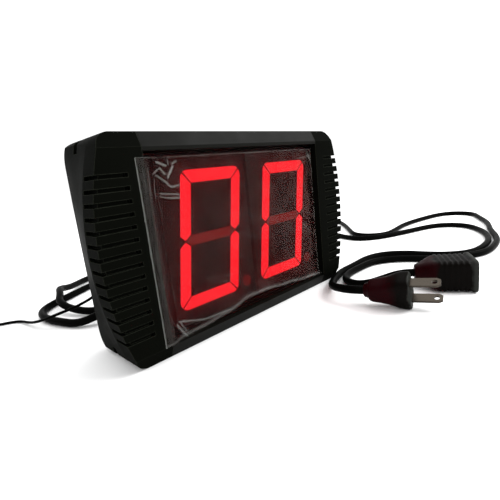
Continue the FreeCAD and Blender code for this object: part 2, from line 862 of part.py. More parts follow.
def components():
    node("power_module", on_main_board("power_block", 18, 66, 38, 24, 10.5))
    node("bell_relay", on_main_board("relay_block", -8, 68, 19, 15.5, 10.5))
    terminals = on_main_board("terminal_blank", -14, 38, 30, 9, 9.5)
    holes = []
    for i in range(4):
        x = -14 + 3.75 + i * 7.5
        holes.append(cylinder(f"terminal_screw_hole_{i}", (x, main_back + 4, 42.5), 2.0, 8, "Y"))
        low = (x - 1.6, main_back + 1.6, 37)
        holes.append(box(f"terminal_wire_hole_{i}", low, (x + 1.6, main_back + 4.8, 44)))
    node("terminal_block", cut("terminals", terminals, holes))
    fuse_y = main_back + 4.2
    clips = []
    for i, x in enumerate((27.0, 42.0)):
        low = (x, main_back, 47.0)
        clip = box(f"fuse_clip_blank_{i}", low, (x + 5, main_back + 7, 55.0))
        room = cylinder(f"fuse_clip_room_{i}", (x - 1, fuse_y, 51.0), 2.65, 7, "X")
        mouth = box(f"fuse_clip_mouth_{i}", (x - 1, fuse_y, 49.4), (x + 6, main_back + 8, 52.6))
        clips.append(cut(f"fuse_clip_{i}", clip, [room, mouth]))
    node("fuse_clips", group("fuse_clip_pair", clips))
    node("mains_fuse", cylinder("fuse_tube", (27.0, fuse_y, 51.0), 2.55, 20.0, "X"))
    cans = []
    for i, (x, z) in enumerate(((-24.0, 80.0), (-24.0, 68.0))):
        cans.append(cylinder(f"capacitor_{i}", (x, main_back, z), 4.0, 10.5, "Y"))
    node("smoothing_capacitors", group("capacitor_pair", cans))
    sounder = cylinder("buzzer_case", (-44.0, main_back, 76.0), 7.0, 8.5, "Y")
    vent = cylinder("buzzer_vent", (-44.0, main_back + 6, 76.0), 1.2, 5, "Y")
    node("buzzer", cut("buzzer_cut", sounder, [vent]))
    node("microcontroller", on_main_board("controller_block", -50, 46, 18, 7.6, 2.3))
    node("crystal", on_main_board("crystal_can", -50, 58, 10.5, 4.4, 3.4))
    node("signal_socket", on_main_board("signal_socket_block", -58, 22, 8, 6, 6.5))
    drivers = []
    for i, x in enumerate((-40.0, 28.0)):
        drivers.append(box(f"driver_{i}", (x, board_back, 60), (x + 10, board_back + 1.8, 64)))
    node("segment_drivers", group("driver_pair", drivers))


# Leads. Each route is the centre line of the lead, in millimetres, from its strain relief to its far end.

MAINS_ROUTE = [
    (-56, 44.25, 18),
    (-56, 54, 18),
    (-61.5, 61.5, 12.5),
    (-72.5, 64, 6.2),
    (-84.5, 71.5, 2.75),
    (-91, 90, 2.75),
    (-95, 108, 2.75),
    (-92.5, 126, 2.75),
    (-82, 138, 2.75),
    (-60, 151, 2.75),
    (-25, 173, 2.75),
    (14.5, 176.5, 2.75),
    (62, 172, 2.75),
    (112, 160, 2.75),
    (158, 146, 2.75),
    (200, 127.5, 2.75),
    (229, 102, 2.75),
    (235.5, 72, 2.75),
    (221.5, 48, 2.75),
    (217.5, 26.5, 2.75),
    (233.5, 8, 2.75),
    (275, -8.5, 2.75),
    (306, -19, 2.75),
    (318.5, -32.5, 2.75),
    (319.5, -50, 2.75),
    (308.5, -65.5, 2.75),
    (281, -83.5, 2.75),
    (242, -96.5, 2.75),
    (207.5, -97.5, 2.75),
    (188, -93, 2.75),
    (175, -79, 2.75),
    (171, -61.5, 2.75),
    (169.5, -46, 2.75),
    (160.5, -30, 2.75),
    (142.5, -22, 2.75),
    (114.5, -24, 2.75),
    (94, -24, 2.75),
    (73, -30.5, 2.9),
    (57, -38.5, 4.5),
    (46.5, -49.5, 7.6),
    (42.2, -63.3, 9.35),
    (44.25, -71.5, 9.95),
]

OUTLET_ROUTE = [
    (-36, 44.25, 18),
    (-36, 55, 18),
    (-44, 64.5, 12.5),
    (-56.5, 73, 6.5),
    (-68, 84.5, 3.2),
    (-76, 100, 4.2),
    (-81, 117.5, 8),
    (-74, 134.5, 11.3),
    (-70, 150.5, 11.3),
    (-57, 166, 6),
    (-34.5, 193, 2.75),
    (-1, 210, 2.75),
    (44, 216, 2.75),
    (94, 216, 2.75),
    (148, 212, 2.75),
    (204, 208, 2.75),
    (258, 206, 2.75),
    (306, 199.5, 2.75),
    (341, 182, 2.75),
    (349.5, 154.5, 2.75),
    (331, 126, 2.75),
    (300, 95.5, 2.75),
    (264, 66.5, 2.75),
    (237.5, 45, 2.75),
    (235, 23, 2.75),
    (250, 8.5, 2.75),
    (278, 11, 2.75),
    (309, 15, 2.75),
    (341, 13, 2.75),
    (370, 8, 2.75),
    (394, 2.5, 2.75),
    (411, -9, 2.75),
    (413, -27, 2.75),
    (403.5, -42.5, 2.75),
    (379, -54, 2.75),
    (339.5, -73, 2.75),
    (295, -85, 2.75),
    (253, -101, 2.75),
    (215.5, -105.5, 2.75),
    (191.5, -103, 2.75),
    (173, -90, 2.75),
    (157, -71.5, 2.75),
    (153, -55, 2.75),
    (143.5, -40.5, 2.75),
    (130, -32.5, 2.75),
    (114, -31.5, 2.75),
    (93, -31.5, 2.75),
    (77, -37.5, 2.75),
    (71, -48, 2.75),
    (70.5, -60.5, 4.8),
    (77, -71.5, 9.2),
    (85.8, -77.8, 10.75),
    (89.6, -84.9, 10.75),
]

SIGNAL_ROUTE = [
    (-60, 30, 36),
    (-60, 40, 36),
    (-61, 54, 31),
    (-64, 69, 22),
    (-70, 80, 14.5),
    (-80.5, 84, 10.8),
    (-92, 84, 9.9),
    (-100.5, 93.5, 6),
    (-104, 110, 2),
    (-107, 127, 1),
    (-117.5, 133, 1),
    (-127.5, 136, 1.4),
    (-133.5, 142.5, 2.4),
]

SIGNAL_TAIL_ROUTE = [
    (-158, 119, 10),
    (-158, 125.5, 9.8),
    (-158.5, 132, 7),
    (-159, 137.5, 4.6),
]


def radii(route):
    """The arc radius at each inner point: 0.45 of the shorter run over the tangent of half the turn."""
    found = []
    for a, b, c in zip(route, route[1:], route[2:]):
        into = V(*b) - V(*a)
        out = V(*c) - V(*b)
        half = into.getAngle(out) / 2
        found.append(0.45 * min(into.Length, out.Length) / math.tan(half))
    return found


def route_wire(route):
    """Straight runs joined by tangent arcs."""
    edges = []
    start = V(*route[0])
    for a, b, c, radius in zip(route, route[1:], route[2:], radii(route)):
        into = (V(*b) - V(*a)).normalize()
        out = (V(*c) - V(*b)).normalize()
        corner = V(*b)
        reach = radius * math.tan(into.getAngle(out) / 2)
        before = corner - into * reach
        after = corner + out * reach
        inward = (out - into).normalize()
        middle = corner + inward * (math.hypot(radius, reach) - radius)
        edges.append(Part.LineSegment(start, before).toShape())
        edges.append(Part.Arc(before, middle, after).toShape())
        start = after
    edges.append(Part.LineSegment(start, V(*route[-1])).toShape())
    return Part.Wire(edges)


def tube(name, route, diameter):
    wire = route_wire(route)
    start = V(*route[0])
    along = V(*route[1]) - start
    section = Part.Wire([Part.Circle(start, along, diameter / 2).toShape()])
    shape = wire.makePipeShell([section], True, False)
    expected = math.pi * diameter**2 / 4 * wire.Length
    smallest = min(radii(route))
    print(f"{name}: {wire.Length:.0f} mm, volume {shape.Volume / expected:.3f} of section x length")
    print(f"  radii {[round(r) for r in radii(route)]}, smallest {smallest:.1f}")
    return node(name, fixed_shape(name + "_tube", shape))


def strain_relief(name, x, z, lead_diameter, hole_radius, tail):
    """A rubber bush in the rear wall: a flange on each side, and a tapered tail for the lead."""
    inner = cylinder(f"{name}_inner", (x, rear - wall - 3.2, z), hole_radius + 1.6, 3.2, "Y")
    neck = cylinder(f"{name}_neck", (x, rear - wall, z), hole_radius - 0.05, wall, "Y")
    flange = cylinder(f"{name}_flange", (x, rear, z), hole_radius + 2.0, 1.8, "Y")
    tip_radius = lead_diameter / 2 + 0.7
    taper = cone(f"{name}_taper", (x, rear + 1.8, z), hole_radius + 0.6, tip_radius, tail - 1.8, "Y")
    return node(name, fuse(f"{name}_whole", [inner, neck, flange, taper]))


def leads():
    for name, x, z, radius in LEAD_EXITS[:2]:
        strain_relief(f"{name}_relief", x, z, lead_size, radius, relief_length)
    name, x, z, radius = LEAD_EXITS[2]
    strain_relief(f"{name}_relief", x, z, signal_size, radius, size(5.75))
    tube("mains_lead", MAINS_ROUTE, lead_size.value)
    tube("outlet_lead", OUTLET_ROUTE, lead_size.value)
    tube("signal_lead", SIGNAL_ROUTE, signal_size.value)
    tube("signal_tail", SIGNAL_TAIL_ROUTE, signal_size.value)


def pose(thing, base, along, across):
    """Stand a piece with its own +Y along one direction and its own +X across it."""
    turn = FreeCAD.Rotation(across, along, across.cross(along), "YXZ")
    thing.Placement = FreeCAD.Placement(V(*base), turn)
    return thing


def moulding(name, rear_width, rear_tall, front_width, front_tall, long, radius):
    """A moulded grip that widens along its own +Y, with rounded long edges."""
    body = doc.addObject("PartDesign::Body", name)
    wedge = body.newObject("PartDesign::AdditiveWedge", name + "_wedge")
    bind(wedge, "Xmin", -size(rear_width) / 2)
    bind(wedge, "Xmax", size(rear_width) / 2)
    bind(wedge, "Zmin", -size(rear_tall) / 2)
    bind(wedge, "Zmax", size(rear_tall) / 2)
    bind(wedge, "X2min", -size(front_width) / 2)
    bind(wedge, "X2max", size(front_width) / 2)
    bind(wedge, "Z2min", -size(front_tall) / 2)
    bind(wedge, "Z2max", size(front_tall) / 2)
    bind(wedge, "Ymin", 0)
    bind(wedge, "Ymax", long)
    fillet(body, name + "_rounding", wedge, radius, lambda bounds: bounds.YLength > 2)
    return body


# The plug lies on one blade's side: the middle of its face, and the directions along and across the blades
PLUG_FACE = (50.8, -98.2, 11.9)
PLUG_PITCH = math.radians(4)
PLUG_ROLL = math.radians(26)
PLUG_ALONG = V(0.242 * math.cos(PLUG_PITCH), -0.970 * math.cos(PLUG_PITCH), math.sin(PLUG_PITCH))
PLUG_SIDE = V(0.970, 0.242, 0)
PLUG_ACROSS = PLUG_ALONG.cross(PLUG_SIDE) * math.cos(PLUG_ROLL) - PLUG_SIDE * math.sin(PLUG_ROLL)


def mains_plug():
    """A two-blade plug: a fan-shaped grip with a tapered neck, and two flat blades 12.7 mm apart."""
    grip = moulding("plug_grip", 13.5, 13.0, plug_width, plug_tall, plug_length, 4.8)
    neck = cone("plug_neck", (0, 0.5, 0), 5.6, 4.2, plug_neck + 0.5, "-Y")
    blades = []
    roots = []
    for side in (-1, 1):
        middle = blade_pitch * side / 2
        root = plug_length - 6
        tip = plug_length + blade_length
        low = (middle - blade_thickness / 2, root, -blade_width / 2)
        high = (middle + blade_thickness / 2, tip, blade_width / 2)
        blank = box(f"blade_blank_{side + 1}", low, high)
        roots.append(box(f"blade_root_{side + 1}", low, (high[0], plug_length + 1, high[2])))
        hole = cylinder(f"blade_hole_{side + 1}", (middle - 2, tip - 3.2, 0), 1.6, 4, "X")
        nose = []
        for up in (-1, 1):
            corner = doc.addObject("Part::Wedge", f"blade_nose_{side + 1}_{up + 1}")
            corner.Xmin, corner.Xmax, corner.X2min, corner.X2max = -2, 2, -2, 2
            corner.Ymin, corner.Ymax = 0, 2.2
            corner.Zmin, corner.Zmax, corner.Z2min, corner.Z2max = 0, 3, -1.2, 3
            turned = FreeCAD.Rotation(V(0, 1, 0), 0 if up > 0 else 180)
            corner.Placement = FreeCAD.Placement(V(0, 0, 0), turned)
            bind(corner, ".Placement.Base.x", middle)
            bind(corner, ".Placement.Base.y", tip - 2.15)
            bind(corner, ".Placement.Base.z", blade_width / 2 * up)
            nose.append(corner)
        blades.append(cut(f"blade_{side + 1}", blank, [hole, *nose]))
    body = cut("plug_moulding", fuse("plug_whole", [grip, neck]), roots)
    pair = group("blade_pair", blades)
    rear_end = V(*PLUG_FACE) - PLUG_ALONG * plug_length.value
    node("plug_body", pose(body, rear_end, PLUG_ALONG, PLUG_ACROSS))
    node("plug_blades", pose(pair, rear_end, PLUG_ALONG, PLUG_ACROSS))


# The connector lies flat
CONNECTOR_REAR = (89.6, -84.9, 10.75)
CONNECTOR_ALONG = V(0.4722, -0.8815, 0).normalize()
CONNECTOR_ACROSS = V(0, 0, 1).cross(CONNECTOR_ALONG) * -1


def outlet_connector():
    """A two-slot connector: a narrow neck, a ribbed grip and a flange round the face."""
    neck = moulding("connector_neck", 12.5, 12.0, 26.0, 19.4, 12.0, 3.2)
    grip = box("connector_grip", (-13, 11.99, -9.7), (13, 33.5, 9.7))
    flange = box("connector_flange", (-14.25, 33, -10.75), (14.25, connector_length, 10.75))
    ridges = []
    for i in range(6):
        near = 13.2 + 3.2 * i
        ridges.append(box(f"connector_ridge_{i}", (-12, near, -10.3), (12, near + 1.6, 10.3)))
    slots = []
    contacts = []
    for side in (-1, 1):
        middle = blade_pitch * side / 2
        low = (middle - 1.3, connector_length - 18, -3.7)
        slots.append(box(f"connector_slot_{side + 1}", low, (middle + 1.3, connector_length + 1, 3.7)))
        for edge in (-1, 1):
            face = middle + 1.05 * edge
            low = (face - 0.25, connector_length - 17.5, -3.2)
            high = (face + 0.25, connector_length - 3, 3.2)
            contacts.append(box(f"contact_{side + 1}_{edge + 1}", low, high))
    body = cut("connector_moulding", fuse("connector_whole", [neck, grip, flange, *ridges]), slots)
    node("connector_body", pose(body, CONNECTOR_REAR, CONNECTOR_ALONG, CONNECTOR_ACROSS))
    sets = group("contact_set", contacts)
    node("connector_contacts", pose(sets, CONNECTOR_REAR, CONNECTOR_ALONG, CONNECTOR_ACROSS))


# The spare length of the signal lead, in a tied ring, and the start button at its end
COIL_MIDDLE = (-147.0, 143.0, 4.2)
BUTTON_BOX_MIDDLE = (-158.0, 98.0)


def signal_coil():
    ring = doc.addObject("Part::Torus", "coil_ring")
    bind(ring, "Radius1", coil_radius)
    bind(ring, "Radius2", coil_bundle)
    node("signal_coil", place(ring, COIL_MIDDLE))
    x, y, z = COIL_MIDDLE
    tie_y = y - coil_radius
    band = cylinder("tie_band", (x - 1.5, tie_y, z), coil_bundle + 0.6, 3, "X")
    room = doc.addObject("Part::Torus", "tie_room")
    bind(room, "Radius1", coil_radius)
    bind(room, "Radius2", coil_bundle + 0.05)
    place(room, COIL_MIDDLE)
    knob = box("tie_knob", (x - 1.5, tie_y - 1.6, z + 3.9), (x + 1.5, tie_y + 1.6, z + 6.4))
    node("coil_tie", cut("tie", fuse("tie_blank", [band, knob]), [room]))


def start_button():
    """A hand-held box with a sprung push button in its lid."""
    x, y = BUTTON_BOX_MIDDLE
    half_x = button_box_length / 2
    half_y = button_box_width / 2
    lid_low = button_box_height - 2.4
    outer = box("button_box_outer", (x - half_x, y - half_y, 0), (x + half_x, y + half_y, lid_low))
    room_low = (x - half_x + 2, y - half_y + 2, 2)
    room = box("button_box_room", room_low, (x + half_x - 2, y + half_y - 2, lid_low + 1))
    holes = [cylinder("button_lead_hole", (x, y + half_y - 3, 10), 2.6, 6, "Y")]
    posts = []
    screws = []
    lid_holes = [cylinder("button_hole", (x, y, lid_low - 1), button_radius + 0.2, 5)]
    for side_x in (-1, 1):
        for side_y in (-1, 1):
            tag = f"{side_x + 1}_{side_y + 1}"
            at_x = half_x * side_x - 4.2 * side_x + x
            at_y = half_y * side_y - 4.2 * side_y + y
            posts.append(cylinder(f"box_post_{tag}", (at_x, at_y, 1.5), 2.6, lid_low - 1.5))
            holes.append(cylinder(f"box_post_hole_{tag}", (at_x, at_y, 6), 1.05, lid_low - 5))
            lid_holes.append(cylinder(f"lid_hole_{tag}", (at_x, at_y, lid_low - 1), 1.25, 5))
            head = cylinder(f"box_screw_head_{tag}", (at_x, at_y, button_box_height), 2.0, 1.3)
            shank = cylinder(f"box_screw_shank_{tag}", (at_x, at_y, lid_low - 7), 1.0, 9.5)
            slot = box(f"box_screw_slot_{tag}", (at_x - 3, at_y - 0.3, 20.8), (at_x + 3, at_y + 0.3, 22.5))
            screws.append(cut(f"box_screw_{tag}", fuse(f"box_screw_blank_{tag}", [head, shank]), [slot]))
    shell = cut("button_box_shell", outer, [room])
    node("button_box", cut("button_box_cut", fuse("button_box_whole", [shell, *posts]), holes))
    lid = box("lid_blank", (x - half_x, y - half_y, lid_low), (x + half_x, y + half_y, button_box_height))
    node("button_box_lid", cut("lid_cut", lid, lid_holes))
    node("button_box_screws", group("box_screw_set", screws))
    inner = cylinder("button_relief_inner", (x, y + half_y - 4, 10), 4.0, 2.0, "Y")
    neck = cylinder("button_relief_neck", (x, y + half_y - 2, 10), 2.55, 2.0, "Y")
    flange = cylinder("button_relief_flange", (x, y + half_y, 10), 4.2, 1.4, "Y")
    taper = cone("button_relief_taper", (x, y + half_y + 1.4, 10), 3.2, 1.7, 6.6, "Y")
    node("button_relief", fuse("button_relief_whole", [inner, neck, flange, taper]))

    cap = cylinder("button_cap", (x, y, 14.0), button_radius, 9.6)
    rim = cylinder("button_rim", (x, y, 14.0), button_radius + 1.5, 1.6)
    stem = cylinder("button_stem", (x, y, 11.2), 1.8, 3.5)
    node("push_button", fuse("button_whole", [cap, rim, stem]))
    spring = cylinder("spring_outer", (x, y, 8.0), 4.6, 5.7)
    core = cylinder("spring_core", (x, y, 7.0), 3.4, 8.0)
    node("button_spring", cut("spring_sleeve", spring, [core]))
    base = box("switch_base", (x - 6, y - 6, 2.0), (x + 6, y + 6, 8.0))
    nub = cylinder("switch_nub", (x, y, 8.0), 1.5, 0.5)
    node("button_switch", fuse("switch_whole", [base, nub]))


case_extrusion()
end_caps()
cap_screws()
window_and_film()
digits()
boards()
components()
leads()
mains_plug()
outlet_connector()
signal_coil()
start_button()
doc.recompute()

# Write the parts

for thing in doc.Objects:
    if "Invalid" in thing.State or "Error" in thing.State:
        raise RuntimeError(f"{thing.Label} failed: {thing.State}")
os.makedirs("parts", exist_ok=True)
for name, thing in nodes.items():
    shape = thing.Shape
    if shape.isNull() or not shape.isValid() or shape.Volume <= 0:
        raise RuntimeError(f"{name} has no valid shape")
    shape.exportStep(f"parts/{name}.step")
print(f"{len(nodes)} nodes written")
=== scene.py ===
import math
import random

import bmesh
import bpy
from mathutils import Matrix, Vector


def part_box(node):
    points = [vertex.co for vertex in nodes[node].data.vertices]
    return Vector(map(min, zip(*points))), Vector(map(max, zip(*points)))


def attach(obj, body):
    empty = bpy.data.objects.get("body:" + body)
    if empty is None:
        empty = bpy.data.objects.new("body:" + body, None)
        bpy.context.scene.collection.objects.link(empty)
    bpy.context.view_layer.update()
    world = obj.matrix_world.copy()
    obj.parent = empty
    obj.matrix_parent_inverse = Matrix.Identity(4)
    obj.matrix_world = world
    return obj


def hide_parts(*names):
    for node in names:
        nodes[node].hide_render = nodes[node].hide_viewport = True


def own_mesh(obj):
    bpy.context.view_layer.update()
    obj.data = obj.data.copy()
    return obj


# A two-digit LED gym round timer with its leads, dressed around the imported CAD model.
# Blender works in metres, and sizes given in millimetres are multiplied by MM.

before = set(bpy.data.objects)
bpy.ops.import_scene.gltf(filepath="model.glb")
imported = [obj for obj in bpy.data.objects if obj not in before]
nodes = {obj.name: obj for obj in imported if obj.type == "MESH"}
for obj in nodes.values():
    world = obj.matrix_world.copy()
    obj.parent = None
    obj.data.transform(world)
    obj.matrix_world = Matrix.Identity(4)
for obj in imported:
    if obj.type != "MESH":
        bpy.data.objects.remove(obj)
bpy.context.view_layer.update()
MM = 0.001


def clamped(value):
    return max(0.0, min(1.0, value))


def eased(value):
    """A soft step from 0 to 1."""
    share = clamped(value)
    return share * share * (3 - 2 * share)


# Camera, light and floor


def camera():
    """A wide lens close to the timer's front left corner."""
    place = Vector((-0.15812, -0.18250, 0.09063))
    forward = Vector((0.67554, 0.70753, -0.20747)).normalized()
    right = forward.cross(Vector((0.22104, 0.07411, 0.97244))).normalized()
    up = right.cross(forward)
    data = bpy.data.cameras.new("camera")
    data.sensor_width = 36.0
    data.lens = 26.2
    data.clip_start = 0.005
    seat = bpy.data.objects.new("camera", data)
    seat.matrix_world = Matrix.Translation(place) @ Matrix((right, up, -forward)).transposed().to_4x4()
    bpy.context.scene.collection.objects.link(seat)
    bpy.context.scene.camera = seat


def area_light(name, place, target, size, power):
    data = bpy.data.lights.new(name, "AREA")
    data.shape = "DISK"
    data.size = size
    data.energy = power
    lamp = bpy.data.objects.new(name, data)
    direction = Vector(target) - Vector(place)
    lamp.rotation_euler = direction.to_track_quat("-Z", "Y").to_euler()
    lamp.location = place
    bpy.context.scene.collection.objects.link(lamp)


def floor():
    """White paper that the timer stands on, just below it so that the two surfaces stay apart."""
    reach = 6.0
    drop = 0.0002
    mesh = bpy.data.meshes.new("floor")
    corners = [(-reach, -reach, 0), (reach, -reach, 0), (reach, reach, 0), (-reach, reach, 0)]
    mesh.from_pydata(corners, [], [(0, 1, 2, 3)])
    sheet = bpy.data.objects.new("floor", mesh)
    bpy.context.scene.collection.objects.link(sheet)
    sheet.location.z = -drop
    paper = Finish("floor_paper", (0.95, 0.95, 0.95), 0.9, shine=0.0)
    paper.colour(paper.noise(40, 3), (0.94, 0.94, 0.94), (0.96, 0.96, 0.96))
    mesh.materials.append(paper.material)


def studio():
    world = bpy.data.worlds.new("studio")
    world.use_nodes = True
    background = world.node_tree.nodes["Background"]
    background.inputs["Color"].default_value = (1.0, 1.0, 1.0, 1)
    background.inputs["Strength"].default_value = 1.12
    bpy.context.scene.world = world
    bpy.context.scene.view_settings.view_transform = "Standard"
    area_light("overhead", (0.1, 0.25, 1.2), (0, 0, 0.05), 0.9, 6)
    area_light("key", (0.55, -0.55, 0.62), (0, 0, 0.08), 0.6, 9)
    area_light("left_fill", (-1.1, 0.2, 0.5), (-0.09, 0, 0.05), 0.6, 0.8)
    floor()


# Materials


class Finish:
    """A Principled material with procedural detail in object space."""

    def __init__(self, name, colour, roughness, metallic=0.0, shine=0.2):
        self.material = bpy.data.materials.new(name)
        self.material.use_nodes = True
        self.tree = self.material.node_tree
        self.shader = self.tree.nodes["Principled BSDF"]
        self.set("Base Color", (*colour, 1))
        self.set("Roughness", roughness)
        self.set("Metallic", metallic)
        if not metallic:
            self.set("Specular IOR Level", shine)
        self.place = self.tree.nodes.new("ShaderNodeTexCoord").outputs["Object"]

    def set(self, socket, value):
        self.shader.inputs[socket].default_value = value

    def node(self, kind, **values):
        made = self.tree.nodes.new(kind)
        for key, value in values.items():
            setattr(made, key, value)
        return made

    def link(self, output, socket):
        self.tree.links.new(output, socket)

    def stretched(self, x, y, z):
        mapping = self.node("ShaderNodeMapping")
        mapping.inputs["Scale"].default_value = (x, y, z)
        self.link(self.place, mapping.inputs["Vector"])
        return mapping.outputs["Vector"]

    def noise(self, scale, detail=4.0, roughness=0.55, where=None):
        made = self.node("ShaderNodeTexNoise")
        made.inputs["Scale"].default_value = scale
        made.inputs["Detail"].default_value = detail
        made.inputs["Roughness"].default_value = roughness
        self.link(where or self.place, made.inputs["Vector"])
        return made.outputs["Fac"]

    def ramp(self, value, low, high, bottom=0.0, top=1.0):
        made = self.node("ShaderNodeMapRange")
        made.inputs["From Min"].default_value = low
        made.inputs["From Max"].default_value = high
        made.inputs["To Min"].default_value = bottom
        made.inputs["To Max"].default_value = top
        self.link(value, made.inputs["Value"])
        return made.outputs["Result"]

    def math(self, operation, a, b=None):
        made = self.node("ShaderNodeMath", operation=operation)
        for socket, value in zip(made.inputs, (a, b)):
            if value is None:
                continue
            if isinstance(value, (int, float)):
                socket.default_value = value
            else:
                self.link(value, socket)
        return made.outputs["Value"]

    def blend(self, value, low, high):
        made = self.node("ShaderNodeMix", data_type="RGBA")
        self.link(value, made.inputs["Factor"])
        made.inputs[6].default_value = (*low, 1)
        made.inputs[7].default_value = (*high, 1)
        return made.outputs[2]

    def colour(self, value, low, high):
        self.link(self.blend(value, low, high), self.shader.inputs["Base Color"])

    def rough(self, value, low, high):
        self.link(self.ramp(value, 0.3, 0.7, low, high), self.shader.inputs["Roughness"])

    def bump(self, height, strength, distance):
        made = self.node("ShaderNodeBump")
        made.inputs["Strength"].default_value = strength
        made.inputs["Distance"].default_value = distance
        self.link(height, made.inputs["Height"])
        self.link(made.outputs["Normal"], self.shader.inputs["Normal"])
        return made

    def highlighted_edges(self, radius, share, low, high, edge_highlight):
        """The cloudy colour between low and high, with a painted highlight along convex and concave edges.
        """
        bevel = self.node("ShaderNodeBevel", samples=4)
        bevel.inputs["Radius"].default_value = radius
        flat = self.node("ShaderNodeNewGeometry").outputs["Normal"]
        turn = self.node("ShaderNodeVectorMath", operation="DOT_PRODUCT")
        self.link(bevel.outputs["Normal"], turn.inputs[0])
        self.link(flat, turn.inputs[1])
        edge = self.ramp(turn.outputs["Value"], 0.998, 0.86)
        mixed = self.node("ShaderNodeMix", data_type="RGBA")
        self.link(edge, mixed.inputs["Factor"])
        self.link(self.blend(share, low, high), mixed.inputs[6])
        mixed.inputs[7].default_value = (*edge_highlight, 1)
        self.link(mixed.outputs[2], self.shader.inputs["Base Color"])

    def round_edges(self, bump_node, radius):
        """Softens hard edges in the shading, as a moulding's small edge radius does."""
        made = self.node("ShaderNodeBevel", samples=4)
        made.inputs["Radius"].default_value = radius
        self.link(made.outputs["Normal"], bump_node.inputs["Normal"])


MOULDED_EDGE = 0.4 * MM
# How much paler the painted edge highlight is than the plastic's lighter tone.
EDGE_HIGHLIGHT_GAIN = 9


def moulded(name, low, high, rough_low, rough_high, grain=2600, shine=0.05):
    """Injection-moulded plastic: a fine grain, cloudy sheen, and soft edges with a painted highlight along
    them.
    """
    made = Finish(name, low, rough_low, shine=shine)
    cloud = made.noise(28, 5)
    edge_highlight = [EDGE_HIGHLIGHT_GAIN * tone for tone in high]
    made.highlighted_edges(MOULDED_EDGE, cloud, low, high, edge_highlight)
    made.rough(cloud, rough_low, rough_high)
    bump = made.bump(made.noise(grain, 2), 0.25, 0.00012)
    made.round_edges(bump, MOULDED_EDGE)
    return made.material


def painted_case():
    made = Finish("case_paint", (0.005, 0.005, 0.005), 0.4, shine=0.035)
    streaks = made.noise(160, 4, 0.6, made.stretched(0.06, 1, 1))
    made.colour(streaks, (0.0022, 0.0023, 0.0018), (0.0042, 0.0044, 0.0034))
    made.rough(made.noise(60, 5), 0.36, 0.50)
    bump = made.bump(made.noise(1500, 2), 0.18, 0.0001)
    made.round_edges(bump, 0.0005)
    return made.material


def lead_jacket():
    made = Finish("lead_jacket", (0.008, 0.008, 0.008), 0.35, shine=0.007)
    cloud = made.noise(90, 4)
    made.colour(cloud, (0.0009, 0.0009, 0.0008), (0.0022, 0.0022, 0.0020))
    made.rough(made.noise(200, 3), 0.28, 0.42)
    made.bump(made.noise(700, 3), 0.12, 0.0002)
    return made.material


def plug_moulding(name, rear, along, length, stops):
    """Black PVC whose colour changes from the lead to the face: a painted red glow near the lead and a
    painted highlight at the face.

    Each stop is (share of the length, colour).
    """
    made = Finish(name, stops[0][1], 0.45, shine=0.02)
    offset = made.node("ShaderNodeVectorMath", operation="SUBTRACT")
    made.link(made.place, offset.inputs[0])
    offset.inputs[1].default_value = rear
    reach = made.node("ShaderNodeVectorMath", operation="DOT_PRODUCT")
    made.link(offset.outputs["Vector"], reach.inputs[0])
    reach.inputs[1].default_value = along
    share = made.ramp(reach.outputs["Value"], 0, length * MM)
    wander = made.ramp(made.noise(90, 4), 0.3, 0.7, -0.06, 0.06)
    shades = made.node("ShaderNodeValToRGB")
    made.link(made.math("ADD", share, wander), shades.inputs["Fac"])
    row = shades.color_ramp.elements
    for number, (place, colour) in enumerate(stops):
        stop = row[number] if number < len(row) else row.new(place)
        stop.position = place
        stop.color = (*colour, 1)
    made.link(shades.outputs["Color"], made.shader.inputs["Base Color"])
    made.rough(made.noise(200, 3), 0.35, 0.5)
    made.bump(made.noise(900, 3), 0.12, 0.0002)
    return made.material


def metal(name, low, high, roughness):
    made = Finish(name, low, roughness, 1.0)
    lines = made.noise(1800, 3, 0.6, made.stretched(1, 1, 0.05))
    made.colour(lines, low, high)
    made.rough(lines, roughness * 0.8, roughness * 1.3)
    made.bump(lines, 0.15, 0.00005)
    return made.material


def acrylic():
    """Dark red tinted window: a see-through sheet with a faint gloss."""
    made = Finish("window_acrylic", (0.075, 0.004, 0.005), 0.06, shine=0.1)
    made.set("IOR", 1.49)
    made.set("Alpha", 0.16)
    cloud = made.noise(35, 4)
    made.colour(cloud, (0.012, 0.0010, 0.0010), (0.028, 0.0020, 0.0020))
    made.bump(made.noise(60, 2), 0.03, 0.0002)
    return made.material


def lit_segment():
    made = Finish("lit_segment", (0.6, 0.02, 0.02), 0.4, shine=0.03)
    made.set("Emission Color", (1.0, 0.011, 0.02, 1))
    cells = made.noise(260, 3)
    made.colour(cells, (0.20, 0.003, 0.005), (0.30, 0.008, 0.010))
    made.link(made.ramp(cells, 0.2, 0.8, 1.12, 1.3), made.shader.inputs["Emission Strength"])
    return made.material


def dark_segment():
    """The unlit middle stroke, which glows faintly, and the darker dot near the digit's foot."""
    made = Finish("dark_segment", (0.2, 0.01, 0.01), 0.4, shine=0.05)
    made.set("Emission Color", (1.0, 0.03, 0.02, 1))
    cells = made.noise(500, 3)
    made.colour(cells, (0.05, 0.003, 0.003), (0.10, 0.005, 0.005))
    split = made.node("ShaderNodeSeparateXYZ")
    made.link(made.place, split.inputs["Vector"])
    height = made.ramp(split.outputs["Z"], 30 * MM, 40 * MM, 0.35, 1.0)
    shine = made.math("MULTIPLY", made.ramp(cells, 0.2, 0.8, 0.075, 0.125), height)
    made.link(shine, made.shader.inputs["Emission Strength"])
    return made.material


# The ring of lit strokes in each digit
TENS_CENTRE = -29.25 * MM
UNITS_CENTRE = 35.25 * MM
DIGIT_MIDDLE = 57.5 * MM
SLANT = math.tan(math.radians(9.5))
RING_HALF_WIDTH = 18.35 * MM
RING_HALF_HEIGHT = 34.6 * MM
GLOW_REACH = 5.0 * MM


